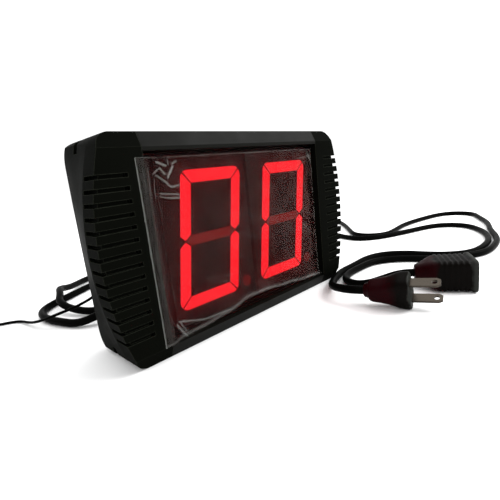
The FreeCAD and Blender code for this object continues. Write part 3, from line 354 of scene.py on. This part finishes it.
def digit_face(name, centre_x):
    """The black face around a digit, with the glow that the lit strokes throw on it."""
    made = Finish(name, (0.002, 0.001, 0.001), 0.55, shine=0.01)
    split = made.node("ShaderNodeSeparateXYZ")
    made.link(made.place, split.inputs["Vector"])
    up = made.math("SUBTRACT", split.outputs["Z"], DIGIT_MIDDLE)
    lean = made.math("MULTIPLY", up, SLANT)
    across = made.math("SUBTRACT", made.math("SUBTRACT", split.outputs["X"], centre_x), lean)
    past_side = made.math("SUBTRACT", made.math("ABSOLUTE", across), RING_HALF_WIDTH)
    past_end = made.math("SUBTRACT", made.math("ABSOLUTE", up), RING_HALF_HEIGHT)
    away = made.math("ABSOLUTE", made.math("MAXIMUM", past_side, past_end))
    glow = made.math("POWER", math.e, made.math("MULTIPLY", away, -1 / GLOW_REACH))
    speckle = made.noise(780, 4, 0.75)
    blotch = made.ramp(made.noise(70, 4, 0.6), 0.35, 0.6, 0.45, 1.0)
    # Pale reddish-grey speckles gathered in blotches on the black face.
    speckled_blotches = made.math("MULTIPLY", made.ramp(speckle, 0.46, 0.66), blotch)
    made.colour(speckled_blotches, (0.0004, 0.0002, 0.0002), (0.040, 0.023, 0.021))
    made.set("Emission Color", (1.0, 0.03, 0.03, 1))
    made.link(made.math("MULTIPLY", glow, 0.07), made.shader.inputs["Emission Strength"])
    made.rough(speckle, 0.4, 0.7)
    return made.material


def board(name, low, high):
    """Solder mask over copper tracks."""
    made = Finish(name, low, 0.35, shine=0.05)
    tracks = made.node("ShaderNodeTexBrick")
    tracks.inputs["Scale"].default_value = 90
    tracks.inputs["Mortar Size"].default_value = 0.06
    made.link(made.place, tracks.inputs["Vector"])
    made.colour(tracks.outputs["Fac"], low, high)
    made.rough(made.noise(300), 0.28, 0.42)
    made.bump(tracks.outputs["Fac"], 0.3, 0.0001)
    return made.material


def glossy(name, low, high, roughness=0.25):
    made = Finish(name, low, roughness)
    cloud = made.noise(120, 4)
    made.colour(cloud, low, high)
    made.rough(cloud, roughness * 0.8, roughness * 1.3)
    made.bump(made.noise(1500, 2), 0.1, 0.0001)
    return made.material


def fuse_glass():
    made = Finish("fuse_glass", (0.8, 0.85, 0.85), 0.05)
    made.set("Alpha", 0.45)
    cloud = made.noise(200)
    made.colour(cloud, (0.75, 0.8, 0.8), (0.85, 0.88, 0.88))
    return made.material


def film_plastic():
    """Thin clear film: an uneven painted veil that stands in for the reflections on the wrinkled film and
    grows denser to the right, and painted glints on its creases and folds.
    """
    made = Finish("clear_film", (0.6, 0.6, 0.6), 0.22, shine=0.1)
    crease_and_glint = made.node("ShaderNodeAttribute", attribute_name="crease_and_glint").outputs["Fac"]
    split = made.node("ShaderNodeSeparateXYZ")
    made.link(made.place, split.inputs["Vector"])
    rise_to_right = made.ramp(split.outputs["X"], FILM_LEFT * MM, FILM_RIGHT * MM, 0.2, 1.6)
    specks = made.ramp(made.noise(650, 3, 0.7), 0.5, 0.62)
    patches = made.ramp(made.noise(110, 6, 0.75), 0.42, 0.62)
    # Painted reflections: specks and patches of pale film, denser to the right, stand in for the
    # reflections on the wrinkled film.
    reflection_haze = made.math("ADD", made.math("MULTIPLY", specks, 0.04), made.math("MULTIPLY", patches, 0.08))
    reflection_haze = made.math("MULTIPLY", made.math("ADD", reflection_haze, 0.01), rise_to_right)
    # The crease value makes the film more opaque and pale grey: painted glints on its creases, edges and
    # fold.
    alpha = made.math("ADD", reflection_haze, made.math("MULTIPLY", crease_and_glint, 0.5))
    made.link(made.math("MINIMUM", alpha, 0.9), made.shader.inputs["Alpha"])
    made.colour(made.ramp(crease_and_glint, 0.0, 0.2), (0.15, 0.086, 0.076), (0.56, 0.58, 0.55))
    made.rough(patches, 0.14, 0.32)
    made.bump(made.noise(85, 4), 0.15, 0.0003)
    return made.material


# Meshes


def new_piece(name, mesh, material):
    piece = bpy.data.objects.new(name, mesh)
    bpy.context.scene.collection.objects.link(piece)
    piece.data.materials.clear()
    piece.data.materials.append(material)
    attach(piece, "timer")
    return piece


def smooth(mesh):
    for face in mesh.polygons:
        face.use_smooth = True


def apply_modifiers(piece):
    graph = bpy.context.evaluated_depsgraph_get()
    bpy.context.view_layer.update()
    mesh = bpy.data.meshes.new_from_object(piece.evaluated_get(graph))
    piece.modifiers.clear()
    piece.data = mesh


def loft(name, sections, sides=48):
    """A closed skin through rounded sections.

    Each section is (distance along, half width, half thickness, squareness): 2 is round, 8 almost square.
    """
    mesh = bpy.data.meshes.new(name)
    work = bmesh.new()
    rings = []
    for along, half_x, half_z, power in sections:
        ring = []
        for i in range(sides):
            angle = 2 * math.pi * i / sides
            c = math.cos(angle)
            s = math.sin(angle)
            x = half_x * math.copysign(abs(c) ** (2 / power), c)
            z = half_z * math.copysign(abs(s) ** (2 / power), s)
            ring.append(work.verts.new((x * MM, along * MM, z * MM)))
        rings.append(ring)
    for a, b in zip(rings, rings[1:]):
        for i in range(sides):
            j = (i + 1) % sides
            work.faces.new((a[i], a[j], b[j], b[i]))
    work.faces.new(list(reversed(rings[0])))
    work.faces.new(rings[-1])
    bmesh.ops.recalc_face_normals(work, faces=work.faces)
    work.to_mesh(mesh)
    work.free()
    smooth(mesh)
    return mesh


def cutter(name, low, high):
    """A plain box that cuts a slot and is then removed."""
    mesh = bpy.data.meshes.new(name)
    work = bmesh.new()
    bmesh.ops.create_cube(work, size=1.0)
    low = Vector(low) * MM
    high = Vector(high) * MM
    for vert in work.verts:
        vert.co = Vector(low[i] + (vert.co[i] + 0.5) * (high[i] - low[i]) for i in range(3))
    work.to_mesh(mesh)
    work.free()
    block = bpy.data.objects.new(name, mesh)
    bpy.context.scene.collection.objects.link(block)
    return block


def carve(piece, blocks):
    for block in blocks:
        modifier = piece.modifiers.new(block.name, "BOOLEAN")
        modifier.object = block
        modifier.operation = "DIFFERENCE"
        modifier.solver = "EXACT"
    apply_modifiers(piece)
    for block in blocks:
        bpy.data.objects.remove(block)


# Leads. Each route is the control line of the lead, in millimetres.

MAINS_ROUTE = [
    (-56, 44.25, 18),
    (-56, 54, 18),
    (-61.5, 61.5, 12.5),
    (-72.5, 64, 6.2),
    (-84.5, 71.5, 2.75),
    (-91, 90, 2.75),
    (-95, 108, 2.75),
    (-92.5, 126, 2.75),
    (-82, 138, 2.75),
    (-60, 151, 2.75),
    (-25, 173, 2.75),
    (14.5, 176.5, 2.75),
    (62, 172, 2.75),
    (112, 160, 2.75),
    (158, 146, 2.75),
    (200, 127.5, 2.75),
    (229, 102, 2.75),
    (235.5, 72, 2.75),
    (221.5, 48, 2.75),
    (217.5, 26.5, 2.75),
    (233.5, 8, 2.75),
    (275, -8.5, 2.75),
    (306, -19, 2.75),
    (318.5, -32.5, 2.75),
    (319.5, -50, 2.75),
    (308.5, -65.5, 2.75),
    (281, -83.5, 2.75),
    (242, -96.5, 2.75),
    (207.5, -97.5, 2.75),
    (188, -93, 2.75),
    (175, -79, 2.75),
    (171, -61.5, 2.75),
    (169.5, -46, 2.75),
    (160.5, -30, 2.75),
    (142.5, -22, 2.75),
    (114.5, -24, 2.75),
    (94, -24, 2.75),
    (73, -30.5, 2.9),
    (57, -38.5, 4.5),
    (46.5, -49.5, 7.6),
    (42.2, -63.3, 9.35),
    (44.25, -71.5, 9.95),
]

OUTLET_ROUTE = [
    (-36, 44.25, 18),
    (-36, 55, 18),
    (-44, 64.5, 12.5),
    (-56.5, 73, 6.5),
    (-68, 84.5, 3.2),
    (-76, 100, 4.2),
    (-81, 117.5, 8),
    (-74, 134.5, 11.3),
    (-70, 150.5, 11.3),
    (-57, 166, 6),
    (-34.5, 193, 2.75),
    (-1, 210, 2.75),
    (44, 216, 2.75),
    (94, 216, 2.75),
    (148, 212, 2.75),
    (204, 208, 2.75),
    (258, 206, 2.75),
    (306, 199.5, 2.75),
    (341, 182, 2.75),
    (349.5, 154.5, 2.75),
    (331, 126, 2.75),
    (300, 95.5, 2.75),
    (264, 66.5, 2.75),
    (237.5, 45, 2.75),
    (235, 23, 2.75),
    (250, 8.5, 2.75),
    (278, 11, 2.75),
    (309, 15, 2.75),
    (341, 13, 2.75),
    (370, 8, 2.75),
    (394, 2.5, 2.75),
    (411, -9, 2.75),
    (413, -27, 2.75),
    (403.5, -42.5, 2.75),
    (379, -54, 2.75),
    (339.5, -73, 2.75),
    (295, -85, 2.75),
    (253, -101, 2.75),
    (215.5, -105.5, 2.75),
    (191.5, -103, 2.75),
    (173, -90, 2.75),
    (157, -71.5, 2.75),
    (153, -55, 2.75),
    (143.5, -40.5, 2.75),
    (130, -32.5, 2.75),
    (114, -31.5, 2.75),
    (93, -31.5, 2.75),
    (77, -37.5, 2.75),
    (71, -48, 2.75),
    (70.5, -60.5, 4.8),
    (77, -71.5, 9.2),
    (85.8, -77.8, 10.75),
    (89.6, -84.9, 10.75),
]

SIGNAL_ROUTE = [
    (-60, 30, 36),
    (-60, 40, 36),
    (-61, 54, 31),
    (-64, 69, 22),
    (-70, 80, 14.5),
    (-80.5, 84, 10.8),
    (-92, 84, 9.9),
    (-100.5, 93.5, 6),
    (-104, 110, 2),
    (-107, 127, 1),
    (-117.5, 133, 1),
    (-127.5, 136, 1.4),
    (-133.5, 142.5, 2.4),
]

SIGNAL_TAIL_ROUTE = [
    (-158.5, 132, 7),
    (-158, 125.5, 9.8),
    (-158, 119, 10),
]

LEAD_SIZE = 5.5
SIGNAL_SIZE = 2.0
COIL_MIDDLE = Vector((-147.0, 143.0, 4.2))
COIL_RADIUS = 11.5
COIL_TURNS = 7
COIL_STEP = 2.05
COIL_START = math.radians(30)
POINTS_PER_TURN = 16
POINTS_LEFT_OUT = 6


def lead_curve(name, route, diameter, material):
    curve = bpy.data.curves.new(name, "CURVE")
    curve.dimensions = "3D"
    spline = curve.splines.new("NURBS")
    spline.points.add(len(route) - 1)
    for point, place in zip(spline.points, route):
        point.co = (*(Vector(place) * MM), 1)
    spline.order_u = 3
    spline.use_endpoint_u = True
    curve.resolution_u = 10
    curve.bevel_depth = diameter / 2 * MM
    curve.bevel_resolution = 5
    curve.use_fill_caps = True
    curve.materials.append(material)
    piece = bpy.data.objects.new(name, curve)
    bpy.context.scene.collection.objects.link(piece)
    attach(piece, "timer")
    return piece


def coil_turns():
    """Seven turns lying in a tight bundle: one in the middle and six around it, entered one after another.

    The last turn stops short, where the lead leaves for the button box.
    """
    spots = [(0, 0)]
    for i in range(6):
        angle = math.pi * i / 3 - math.pi / 2
        spots.append((math.cos(angle) * COIL_STEP, math.sin(angle) * COIL_STEP))
    points = []
    for i in range(COIL_TURNS * POINTS_PER_TURN - POINTS_LEFT_OUT):
        turn = min(i // POINTS_PER_TURN, COIL_TURNS - 1)
        share = (i % POINTS_PER_TURN) / POINTS_PER_TURN
        here = Vector(spots[turn])
        following = Vector(spots[min(turn + 1, COIL_TURNS - 1)])
        offset = here.lerp(following, eased((share - 0.6) / 0.4))
        angle = COIL_START + 2 * math.pi * i / POINTS_PER_TURN
        radius = COIL_RADIUS + offset.x
        x = COIL_MIDDLE.x + radius * math.cos(angle)
        y = COIL_MIDDLE.y + radius * math.sin(angle)
        points.append((x, y, COIL_MIDDLE.z + offset.y))
    return points


# The plug and the connector, in their own axes: +Y towards the face, +X across
PLUG_FACE = Vector((50.8, -98.2, 11.9)) * MM
PLUG_PITCH = math.radians(4)
PLUG_ROLL = math.radians(26)
PLUG_LEVEL = math.cos(PLUG_PITCH)
PLUG_ALONG = Vector((0.242 * PLUG_LEVEL, -0.970 * PLUG_LEVEL, math.sin(PLUG_PITCH)))
PLUG_SIDE = Vector((0.970, 0.242, 0))
PLUG_ACROSS = PLUG_ALONG.cross(PLUG_SIDE) * math.cos(PLUG_ROLL) - PLUG_SIDE * math.sin(PLUG_ROLL)
PLUG_LENGTH = 24.0
PLUG_REAR = PLUG_FACE - PLUG_ALONG * PLUG_LENGTH * MM
CONNECTOR_REAR = Vector((89.6, -84.9, 10.75)) * MM
CONNECTOR_ALONG = Vector((0.4722, -0.8815, 0)).normalized()
CONNECTOR_ACROSS = -Vector((0, 0, 1)).cross(CONNECTOR_ALONG)
CONNECTOR_LENGTH = 36.0
RIBS = 6
FIRST_RIB = 13.2
RIB_PITCH = 3.2
SLOT_FROM_MIDDLE = 6.35
SLOT_HALF_WIDTH = 1.3
SLOT_HALF_HEIGHT = 3.7
SLOT_START = 18
# Colours of their PVC, from the lead to the face: a painted red glow from the display near the lead, the
# PVC's black, and a painted highlight on the face.
PAINTED_RED_GLOW = (0.0105, 0.0010, 0.0016)
SOOT = (0.0020, 0.0015, 0.0012)
PAINTED_HIGHLIGHT_GREY = (0.018, 0.019, 0.017)
PLUG_SHADES = [(0.0, PAINTED_RED_GLOW), (0.45, PAINTED_RED_GLOW), (0.7, SOOT), (0.94, SOOT), (0.98, PAINTED_HIGHLIGHT_GREY)]
CONNECTOR_SHADES = [(0.0, PAINTED_RED_GLOW), (0.3, PAINTED_RED_GLOW), (0.38, SOOT), (0.88, SOOT), (0.94, PAINTED_HIGHLIGHT_GREY)]


def stand(mesh, base, along, across):
    """Place a mesh that was made in its own axes."""
    turn = Matrix((across.normalized(), along, across.normalized().cross(along))).transposed().to_4x4()
    mesh.transform(Matrix.Translation(base) @ turn)
    return mesh


def plug():
    """The two-blade plug, moulded on to the mains lead."""
    sections = [
        (-3.5, 3.9, 3.9, 2),
        (-3.2, 4.3, 4.3, 2),
        (-1.0, 5.0, 5.0, 2.1),
        (-0.3, 5.9, 5.8, 2.3),
        (0.4, 6.5, 6.3, 2.6),
        (2.0, 6.8, 6.5, 2.9),
        (7.0, 7.3, 6.8, 3.2),
        (10.5, 8.1, 7.0, 3.4),
        (14.0, 9.6, 7.3, 3.6),
        (17.0, 10.8, 7.6, 3.8),
        (19.0, 11.2, 7.75, 4.0),
        (23.2, 11.25, 7.75, 4.0),
        (23.8, 10.9, 7.45, 4.0),
        (24.0, 10.5, 7.1, 4.0),
    ]
    mesh = stand(loft("plug_moulding", sections), PLUG_REAR, PLUG_ALONG, PLUG_ACROSS)
    pvc = plug_moulding("plug_pvc", PLUG_REAR, PLUG_ALONG, PLUG_LENGTH, PLUG_SHADES)
    piece = new_piece("plug_moulding", mesh, pvc)
    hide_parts("plug_body")
    return piece


def connector_sections():
    """From the lead to the face: a shoulder, a row of ribs, and a flange."""
    sections = [
        (0.0, 4.8, 4.6, 2.2),
        (0.4, 5.9, 5.7, 2.3),
        (2.6, 6.6, 6.4, 2.8),
        (6.0, 9.2, 7.9, 3.4),
        (9.6, 12.2, 9.3, 4.5),
        (11.6, 12.9, 9.65, 6),
    ]
    for i in range(RIBS):
        near = FIRST_RIB + RIB_PITCH * i
        sections += [(near, 12.9, 9.65, 8), (near + 0.35, 13.0, 10.25, 8)]
        sections += [(near + 1.6, 13.0, 10.25, 8), (near + 1.95, 12.9, 9.65, 8)]
    return sections + [
        (32.7, 12.95, 9.7, 8),
        (33.0, 13.9, 10.4, 8),
        (33.4, 14.2, 10.7, 8),
        (35.5, 14.2, 10.7, 8),
        (36.0, 13.8, 10.3, 8),
    ]


def connector():
    """The connector on the outlet lead, with its two slots."""
    skin = loft("connector_moulding", connector_sections(), 64)
    mesh = stand(skin, Vector(), Vector((0, 1, 0)), Vector((1, 0, 0)))
    blank = bpy.data.objects.new("connector_moulding", mesh)
    bpy.context.scene.collection.objects.link(blank)
    slots = []
    for side in (-1, 1):
        middle = SLOT_FROM_MIDDLE * side
        low = (middle - SLOT_HALF_WIDTH, SLOT_START, -SLOT_HALF_HEIGHT)
        high = (middle + SLOT_HALF_WIDTH, CONNECTOR_LENGTH + 1, SLOT_HALF_HEIGHT)
        slots.append(cutter(f"slot_{side + 1}", low, high))
    carve(blank, slots)
    mesh = stand(blank.data, CONNECTOR_REAR, CONNECTOR_ALONG, CONNECTOR_ACROSS)
    bpy.data.objects.remove(blank)
    pvc = plug_moulding(
        "connector_pvc", CONNECTOR_REAR, CONNECTOR_ALONG, CONNECTOR_LENGTH, CONNECTOR_SHADES
    )
    piece = new_piece("connector_moulding", mesh, pvc)
    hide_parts("connector_body")
    return piece


def spring_wire(low, high):
    """A helix of wire that fills the box between two corners."""
    wire = 0.28 * MM
    turns = 5
    steps = 20
    radius = (high.x - low.x) / 2 - wire
    curve = bpy.data.curves.new("spring_line", "CURVE")
    curve.dimensions = "3D"
    line = curve.splines.new("POLY")
    line.points.add(turns * steps)
    for i, point in enumerate(line.points):
        angle = 2 * math.pi * i / steps
        rise = low.z + wire + (high.z - low.z - 2 * wire) * i / (turns * steps)
        x = (low.x + high.x) / 2 + radius * math.cos(angle)
        y = (low.y + high.y) / 2 + radius * math.sin(angle)
        point.co = (x, y, rise, 1)
    curve.bevel_depth = wire
    curve.bevel_resolution = 3
    curve.use_fill_caps = True
    shape = bpy.data.objects.new("spring_line", curve)
    bpy.context.scene.collection.objects.link(shape)
    bpy.context.view_layer.update()
    graph = bpy.context.evaluated_depsgraph_get()
    mesh = bpy.data.meshes.new_from_object(shape.evaluated_get(graph))
    bpy.data.objects.remove(shape)
    smooth(mesh)
    return mesh


def return_spring():
    """The button's return spring, drawn at rest; on the real timer its turns close up as the button goes
    down.
    """
    low, high = (Vector(corner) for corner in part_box("button_spring"))
    steel = metal("spring_steel", (0.50, 0.50, 0.51), (0.62, 0.62, 0.63), 0.32)
    piece = new_piece("return_spring", spring_wire(low, high), steel)
    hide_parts("button_spring")
    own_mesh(piece)
    return piece


def mains(jacket):
    piece = lead_curve("mains_cord", MAINS_ROUTE, LEAD_SIZE, jacket)
    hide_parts("mains_lead")


def outlet(jacket):
    piece = lead_curve("outlet_cord", OUTLET_ROUTE, LEAD_SIZE, jacket)
    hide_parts("outlet_lead")


def signal(jacket):
    route = SIGNAL_ROUTE + coil_turns() + SIGNAL_TAIL_ROUTE
    piece = lead_curve("signal_cord", route, SIGNAL_SIZE, jacket)
    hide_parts("signal_lead", "signal_coil", "signal_tail")
    hand_control = ["coil_tie", "button_relief", "button_box", "button_box_lid", "button_box_screws"]
    hand_control += ["push_button", "button_switch", "signal_lead_relief"]
    [nodes[name] for name in hand_control] + [return_spring()]


def leads():
    jacket = lead_jacket()
    plug_piece = plug()
    connector_piece = connector()
    mains(jacket)
    outlet(jacket)
    signal(jacket)


# The clear film over the window

# Creases: (x, z) of both ends in millimetres, half width, strength; the strength sets both their depth and
# their painted glint
CREASES = [
    (-59.9, 100.4, -55.0, 98.4, 0.45, 0.45),
    (-53.7, 101.6, -53.4, 98.7, 0.3, 0.3),
    (-51.1, 99.3, -48.5, 100.2, 0.5, 0.3),
    (-51.1, 97.8, -54.7, 92.6, 0.45, 0.45),
    (-63.5, 94.7, -58.6, 97.5, 0.4, 0.32),
    (-58.6, 97.5, -56.3, 94.3, 0.45, 0.32),
    (-61.4, 94.1, -55.5, 89.7, 0.55, 0.26),
    (-55.6, 89.0, -53.1, 87.6, 0.5, 0.26),
    (-53.1, 87.6, -48.3, 88.3, 0.5, 0.28),
    (-60.6, 85.1, -49.0, 83.4, 0.4, 0.3),
    (-60.8, 83.8, -56.8, 82.4, 0.35, 0.26),
    (-56.8, 82.4, -49.4, 81.6, 0.4, 0.32),
    (-63.2, 92.0, -64.5, 87.6, 0.35, 0.25),
    (-64.5, 87.6, -64.5, 82.7, 0.4, 0.32),
    (-63.1, 85.7, -61.1, 73.4, 0.35, 0.1),
    (-62.3, 73.0, -51.2, 70.5, 0.35, 0.08),
    (-70.4, 97.6, -71.0, 82.7, 0.5, 0.14),
    (-67.7, 97.4, -68.6, 83.5, 0.5, 0.16),
    (-68.6, 83.5, -68.9, 60.0, 0.5, 0.12),
    (-70.5, 60.0, -70.0, 25.0, 0.6, 0.12),
    (-64.7, 80.4, -63.0, 52.5, 0.4, 0.1),
    (-64.0, 46.0, -61.5, 30.0, 0.45, 0.1),
    (-63.2, 15.7, -58.8, 7.9, 0.6, 0.34),
    (-60.7, 16.2, -58.0, 10.5, 0.5, 0.2),
    (-61.5, 16.5, -44.9, 12.0, 0.5, 0.28),
    (-44.9, 12.0, -27.1, 11.7, 0.45, 0.22),
    (-27.1, 11.7, -10.0, 12.6, 0.45, 0.16),
    (-39.1, 34.6, -19.7, 31.5, 0.35, 0.13),
    (-37.7, 31.9, -24.3, 28.8, 0.35, 0.1),
    (-5.7, 66.2, 7.6, 63.3, 0.35, 0.08),
    (-11.7, 41.6, -6.7, 38.0, 0.45, 0.12),
    (-13.6, 57.2, 7.7, 48.2, 0.3, 0.08),
    (49.2, 53.9, 67.5, 37.5, 0.4, 0.09),
    (54.7, 96.9, 67.5, 98.0, 0.6, 0.12),
    (63.9, 100.1, 67.4, 94.3, 0.6, 0.3),
]

FILM_LEFT = -73.8
FILM_RIGHT = 68.2
FILM_TOP = 102.8
WINDOW_FRONT = -19.75
FILM_GAP = 0.15
# Where the film climbs over the left cap's edge, and by how much
CLIMB_START = -61.0
CLIMB_LENGTH = 8.0
CLIMB_HEIGHT = 4.75
# How it lifts off the window at its foot
LIFT_REACH = 7.0
LIFT_HEIGHT = 2.6
RIPPLE_HEIGHT = 0.12
CREASE_HEIGHT = 0.45
# The paler band over the left cap
BAND_START = -64.5
BAND_SOFTNESS = 4.0
# The wavy lower edge: (x, height)
FILM_FOOT = [(-74, 7.2), (-50, 8.2), (-29, 10.0), (-9, 14.2), (6, 13.8), (29, 11.6), (50, 9.5), (68, 8.6)]


def film_foot(x):
    """Height of the film's lower edge, in millimetres."""
    for (x0, z0), (x1, z1) in zip(FILM_FOOT, FILM_FOOT[1:]):
        if x <= x1:
            return z0 + (z1 - z0) * eased((x - x0) / (x1 - x0))
    return FILM_FOOT[-1][1]


def distance_to(x, z, ends):
    """How far a place is from a straight crease."""
    x0, z0, x1, z1 = ends
    run = Vector((x1 - x0, z1 - z0))
    here = Vector((x - x0, z - z0))
    return (here - run * clamped(here.dot(run) / run.length_squared)).length


def crease_mark(x, z, creases):
    """How strong the creases are at a place, from 0 to 1."""
    mark = 0.0
    for *ends, half_width, strength in creases:
        near = distance_to(x, z, ends) / half_width
        if near < 3:
            mark = max(mark, strength * math.exp(-near * near))
    return mark


def line_mark(value, middle, half_width):
    """A soft line: 1 at its middle, falling away on both sides."""
    return math.exp(-(((value - middle) / half_width) ** 2))


def border_mark(x, z, foot):
    """Painted glints along the edges and along the fold at the foot, and the paler band over the left cap.
    """
    return max(
        0.3 * line_mark(x, FILM_LEFT, 0.8),
        0.2 * line_mark(z, FILM_TOP, 0.5),
        0.16 * line_mark(x, FILM_RIGHT, 0.9),
        0.15 * line_mark(z, foot + 1.0, 0.9),
        0.065 * clamped((BAND_START - x) / BAND_SOFTNESS),
    )


def film_depth(x, z, foot):
    """How far the film stands in front of the window, in millimetres.

    It climbs over the left cap's edge and lifts at its foot.
    """
    climb = eased((CLIMB_START - x) / CLIMB_LENGTH)
    stand_off = FILM_GAP + CLIMB_HEIGHT * climb
    lift = max(0.0, 1 - (z - foot) / LIFT_REACH)
    stand_off += (1 - climb) * LIFT_HEIGHT * lift * lift
    return stand_off


def ripple_waves():
    """Each wave is (waves per millimetre, phase, tilt)."""
    draw = random.Random(7)
    return [(draw.uniform(0.05, 0.22), draw.uniform(0, 6.3), draw.uniform(-0.6, 0.6)) for _ in range(9)]


def ripple(x, z, waves):
    return sum(math.sin(k * (x + tilt * z) + phase) for k, phase, tilt in waves) / len(waves)


def creases_near(x):
    """The creases that can reach a column of the film."""
    margin = 2
    return [c for c in CREASES if min(c[0], c[2]) - margin < x < max(c[0], c[2]) + margin]


def film():
    """A fine sheet, with a value at each point for the painted glints on its creases, edges and fold, and
    for the paler band over the left cap.
    """
    columns = 300
    rows = 200
    waves = ripple_waves()
    mesh = bpy.data.meshes.new("protective_film_sheet")
    work = bmesh.new()
    grid = []
    glints_and_band = []
    for i in range(columns + 1):
        x = FILM_LEFT + (FILM_RIGHT - FILM_LEFT) * i / columns
        foot = film_foot(x)
        nearby = creases_near(x)
        line = []
        for j in range(rows + 1):
            z = foot + (FILM_TOP - foot) * j / rows
            crease_and_glint = crease_mark(x, z, nearby)
            depth = film_depth(x, z, foot)
            depth += RIPPLE_HEIGHT + RIPPLE_HEIGHT * ripple(x, z, waves)
            depth += CREASE_HEIGHT * crease_and_glint
            line.append(work.verts.new((x * MM, (WINDOW_FRONT - depth) * MM, z * MM)))
            glints_and_band.append(max(crease_and_glint, border_mark(x, z, foot)))
        grid.append(line)
    for i in range(columns):
        for j in range(rows):
            work.faces.new((grid[i][j], grid[i + 1][j], grid[i + 1][j + 1], grid[i][j + 1]))
    work.to_mesh(mesh)
    work.free()
    smooth(mesh)
    attribute = mesh.attributes.new("crease_and_glint", "FLOAT", "POINT")
    attribute.data.foreach_set("value", glints_and_band)
    piece = new_piece("protective_film_sheet", mesh, film_plastic())
    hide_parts("protective_film")


# Finishes of the CAD nodes


def paint(material, *names):
    for name in names:
        mesh = nodes[name].data
        mesh.materials.clear()
        mesh.materials.append(material)


def dress_plastics():
    charcoal = (0.0010, 0.0012, 0.0008), (0.0026, 0.0029, 0.0021)
    cap = moulded("cap_plastic", *charcoal, 0.42, 0.58, shine=0.004)
    paint(cap, "left_end_cap", "right_end_cap")
    black = moulded("black_plastic", (0.006, 0.006, 0.006), (0.012, 0.012, 0.012), 0.4, 0.6)
    paint(black, "board_header", "power_module", "buzzer", "microcontroller", "segment_drivers")
    paint(black, "coil_tie", "button_box", "button_box_lid", "button_switch")
    rubber = moulded("black_rubber", (0.006, 0.006, 0.006), (0.012, 0.012, 0.012), 0.6, 0.8, 1400)
    paint(rubber, "mains_lead_relief", "outlet_lead_relief", "signal_lead_relief", "button_relief")
    paint(glossy("relay_blue", (0.02, 0.08, 0.30), (0.03, 0.11, 0.38)), "bell_relay")
    paint(glossy("terminal_green", (0.01, 0.22, 0.06), (0.02, 0.28, 0.09)), "terminal_block")
    paint(glossy("white_plastic", (0.72, 0.72, 0.68), (0.80, 0.80, 0.76), 0.35), "signal_socket")
    paint(glossy("button_red", (0.42, 0.012, 0.012), (0.52, 0.02, 0.02), 0.3), "push_button")


def dress_metals():
    paint(painted_case(), "case_extrusion")
    steel = metal("zinc_steel", (0.50, 0.50, 0.51), (0.62, 0.62, 0.63), 0.32)
    paint(steel, "cap_screws", "board_screws", "button_box_screws")
    tin = metal("tinned_metal", (0.62, 0.62, 0.62), (0.75, 0.75, 0.75), 0.28)
    paint(tin, "digit_pins", "fuse_clips", "crystal")
    brass = metal("brass", (0.70, 0.52, 0.24), (0.80, 0.62, 0.32), 0.3)
    paint(brass, "board_standoffs", "connector_contacts")
    paint(metal("blade_metal", (0.024, 0.020, 0.016), (0.062, 0.053, 0.043), 0.34), "plug_blades")
    can = metal("can_aluminium", (0.68, 0.68, 0.69), (0.78, 0.78, 0.79), 0.35)
    paint(can, "smoothing_capacitors")


def dress_display():
    paint(acrylic(), "window_panel")
    paint(digit_face("tens_face", TENS_CENTRE), "tens_digit_housing")
    paint(digit_face("units_face", UNITS_CENTRE), "units_digit_housing")
    paint(lit_segment(), "tens_digit_lit_segments", "units_digit_lit_segments")
    paint(dark_segment(), "tens_digit_unlit_segments", "units_digit_unlit_segments")


def dress_boards():
    paint(board("green_mask", (0.008, 0.10, 0.03), (0.02, 0.20, 0.07)), "main_board")
    paint(board("dark_green_mask", (0.0010, 0.0018, 0.0012), (0.0020, 0.0036, 0.0022)), "display_board")
    paint(fuse_glass(), "mains_fuse")


camera()
studio()
dress_plastics()
dress_metals()
dress_display()
dress_boards()
leads()
film()
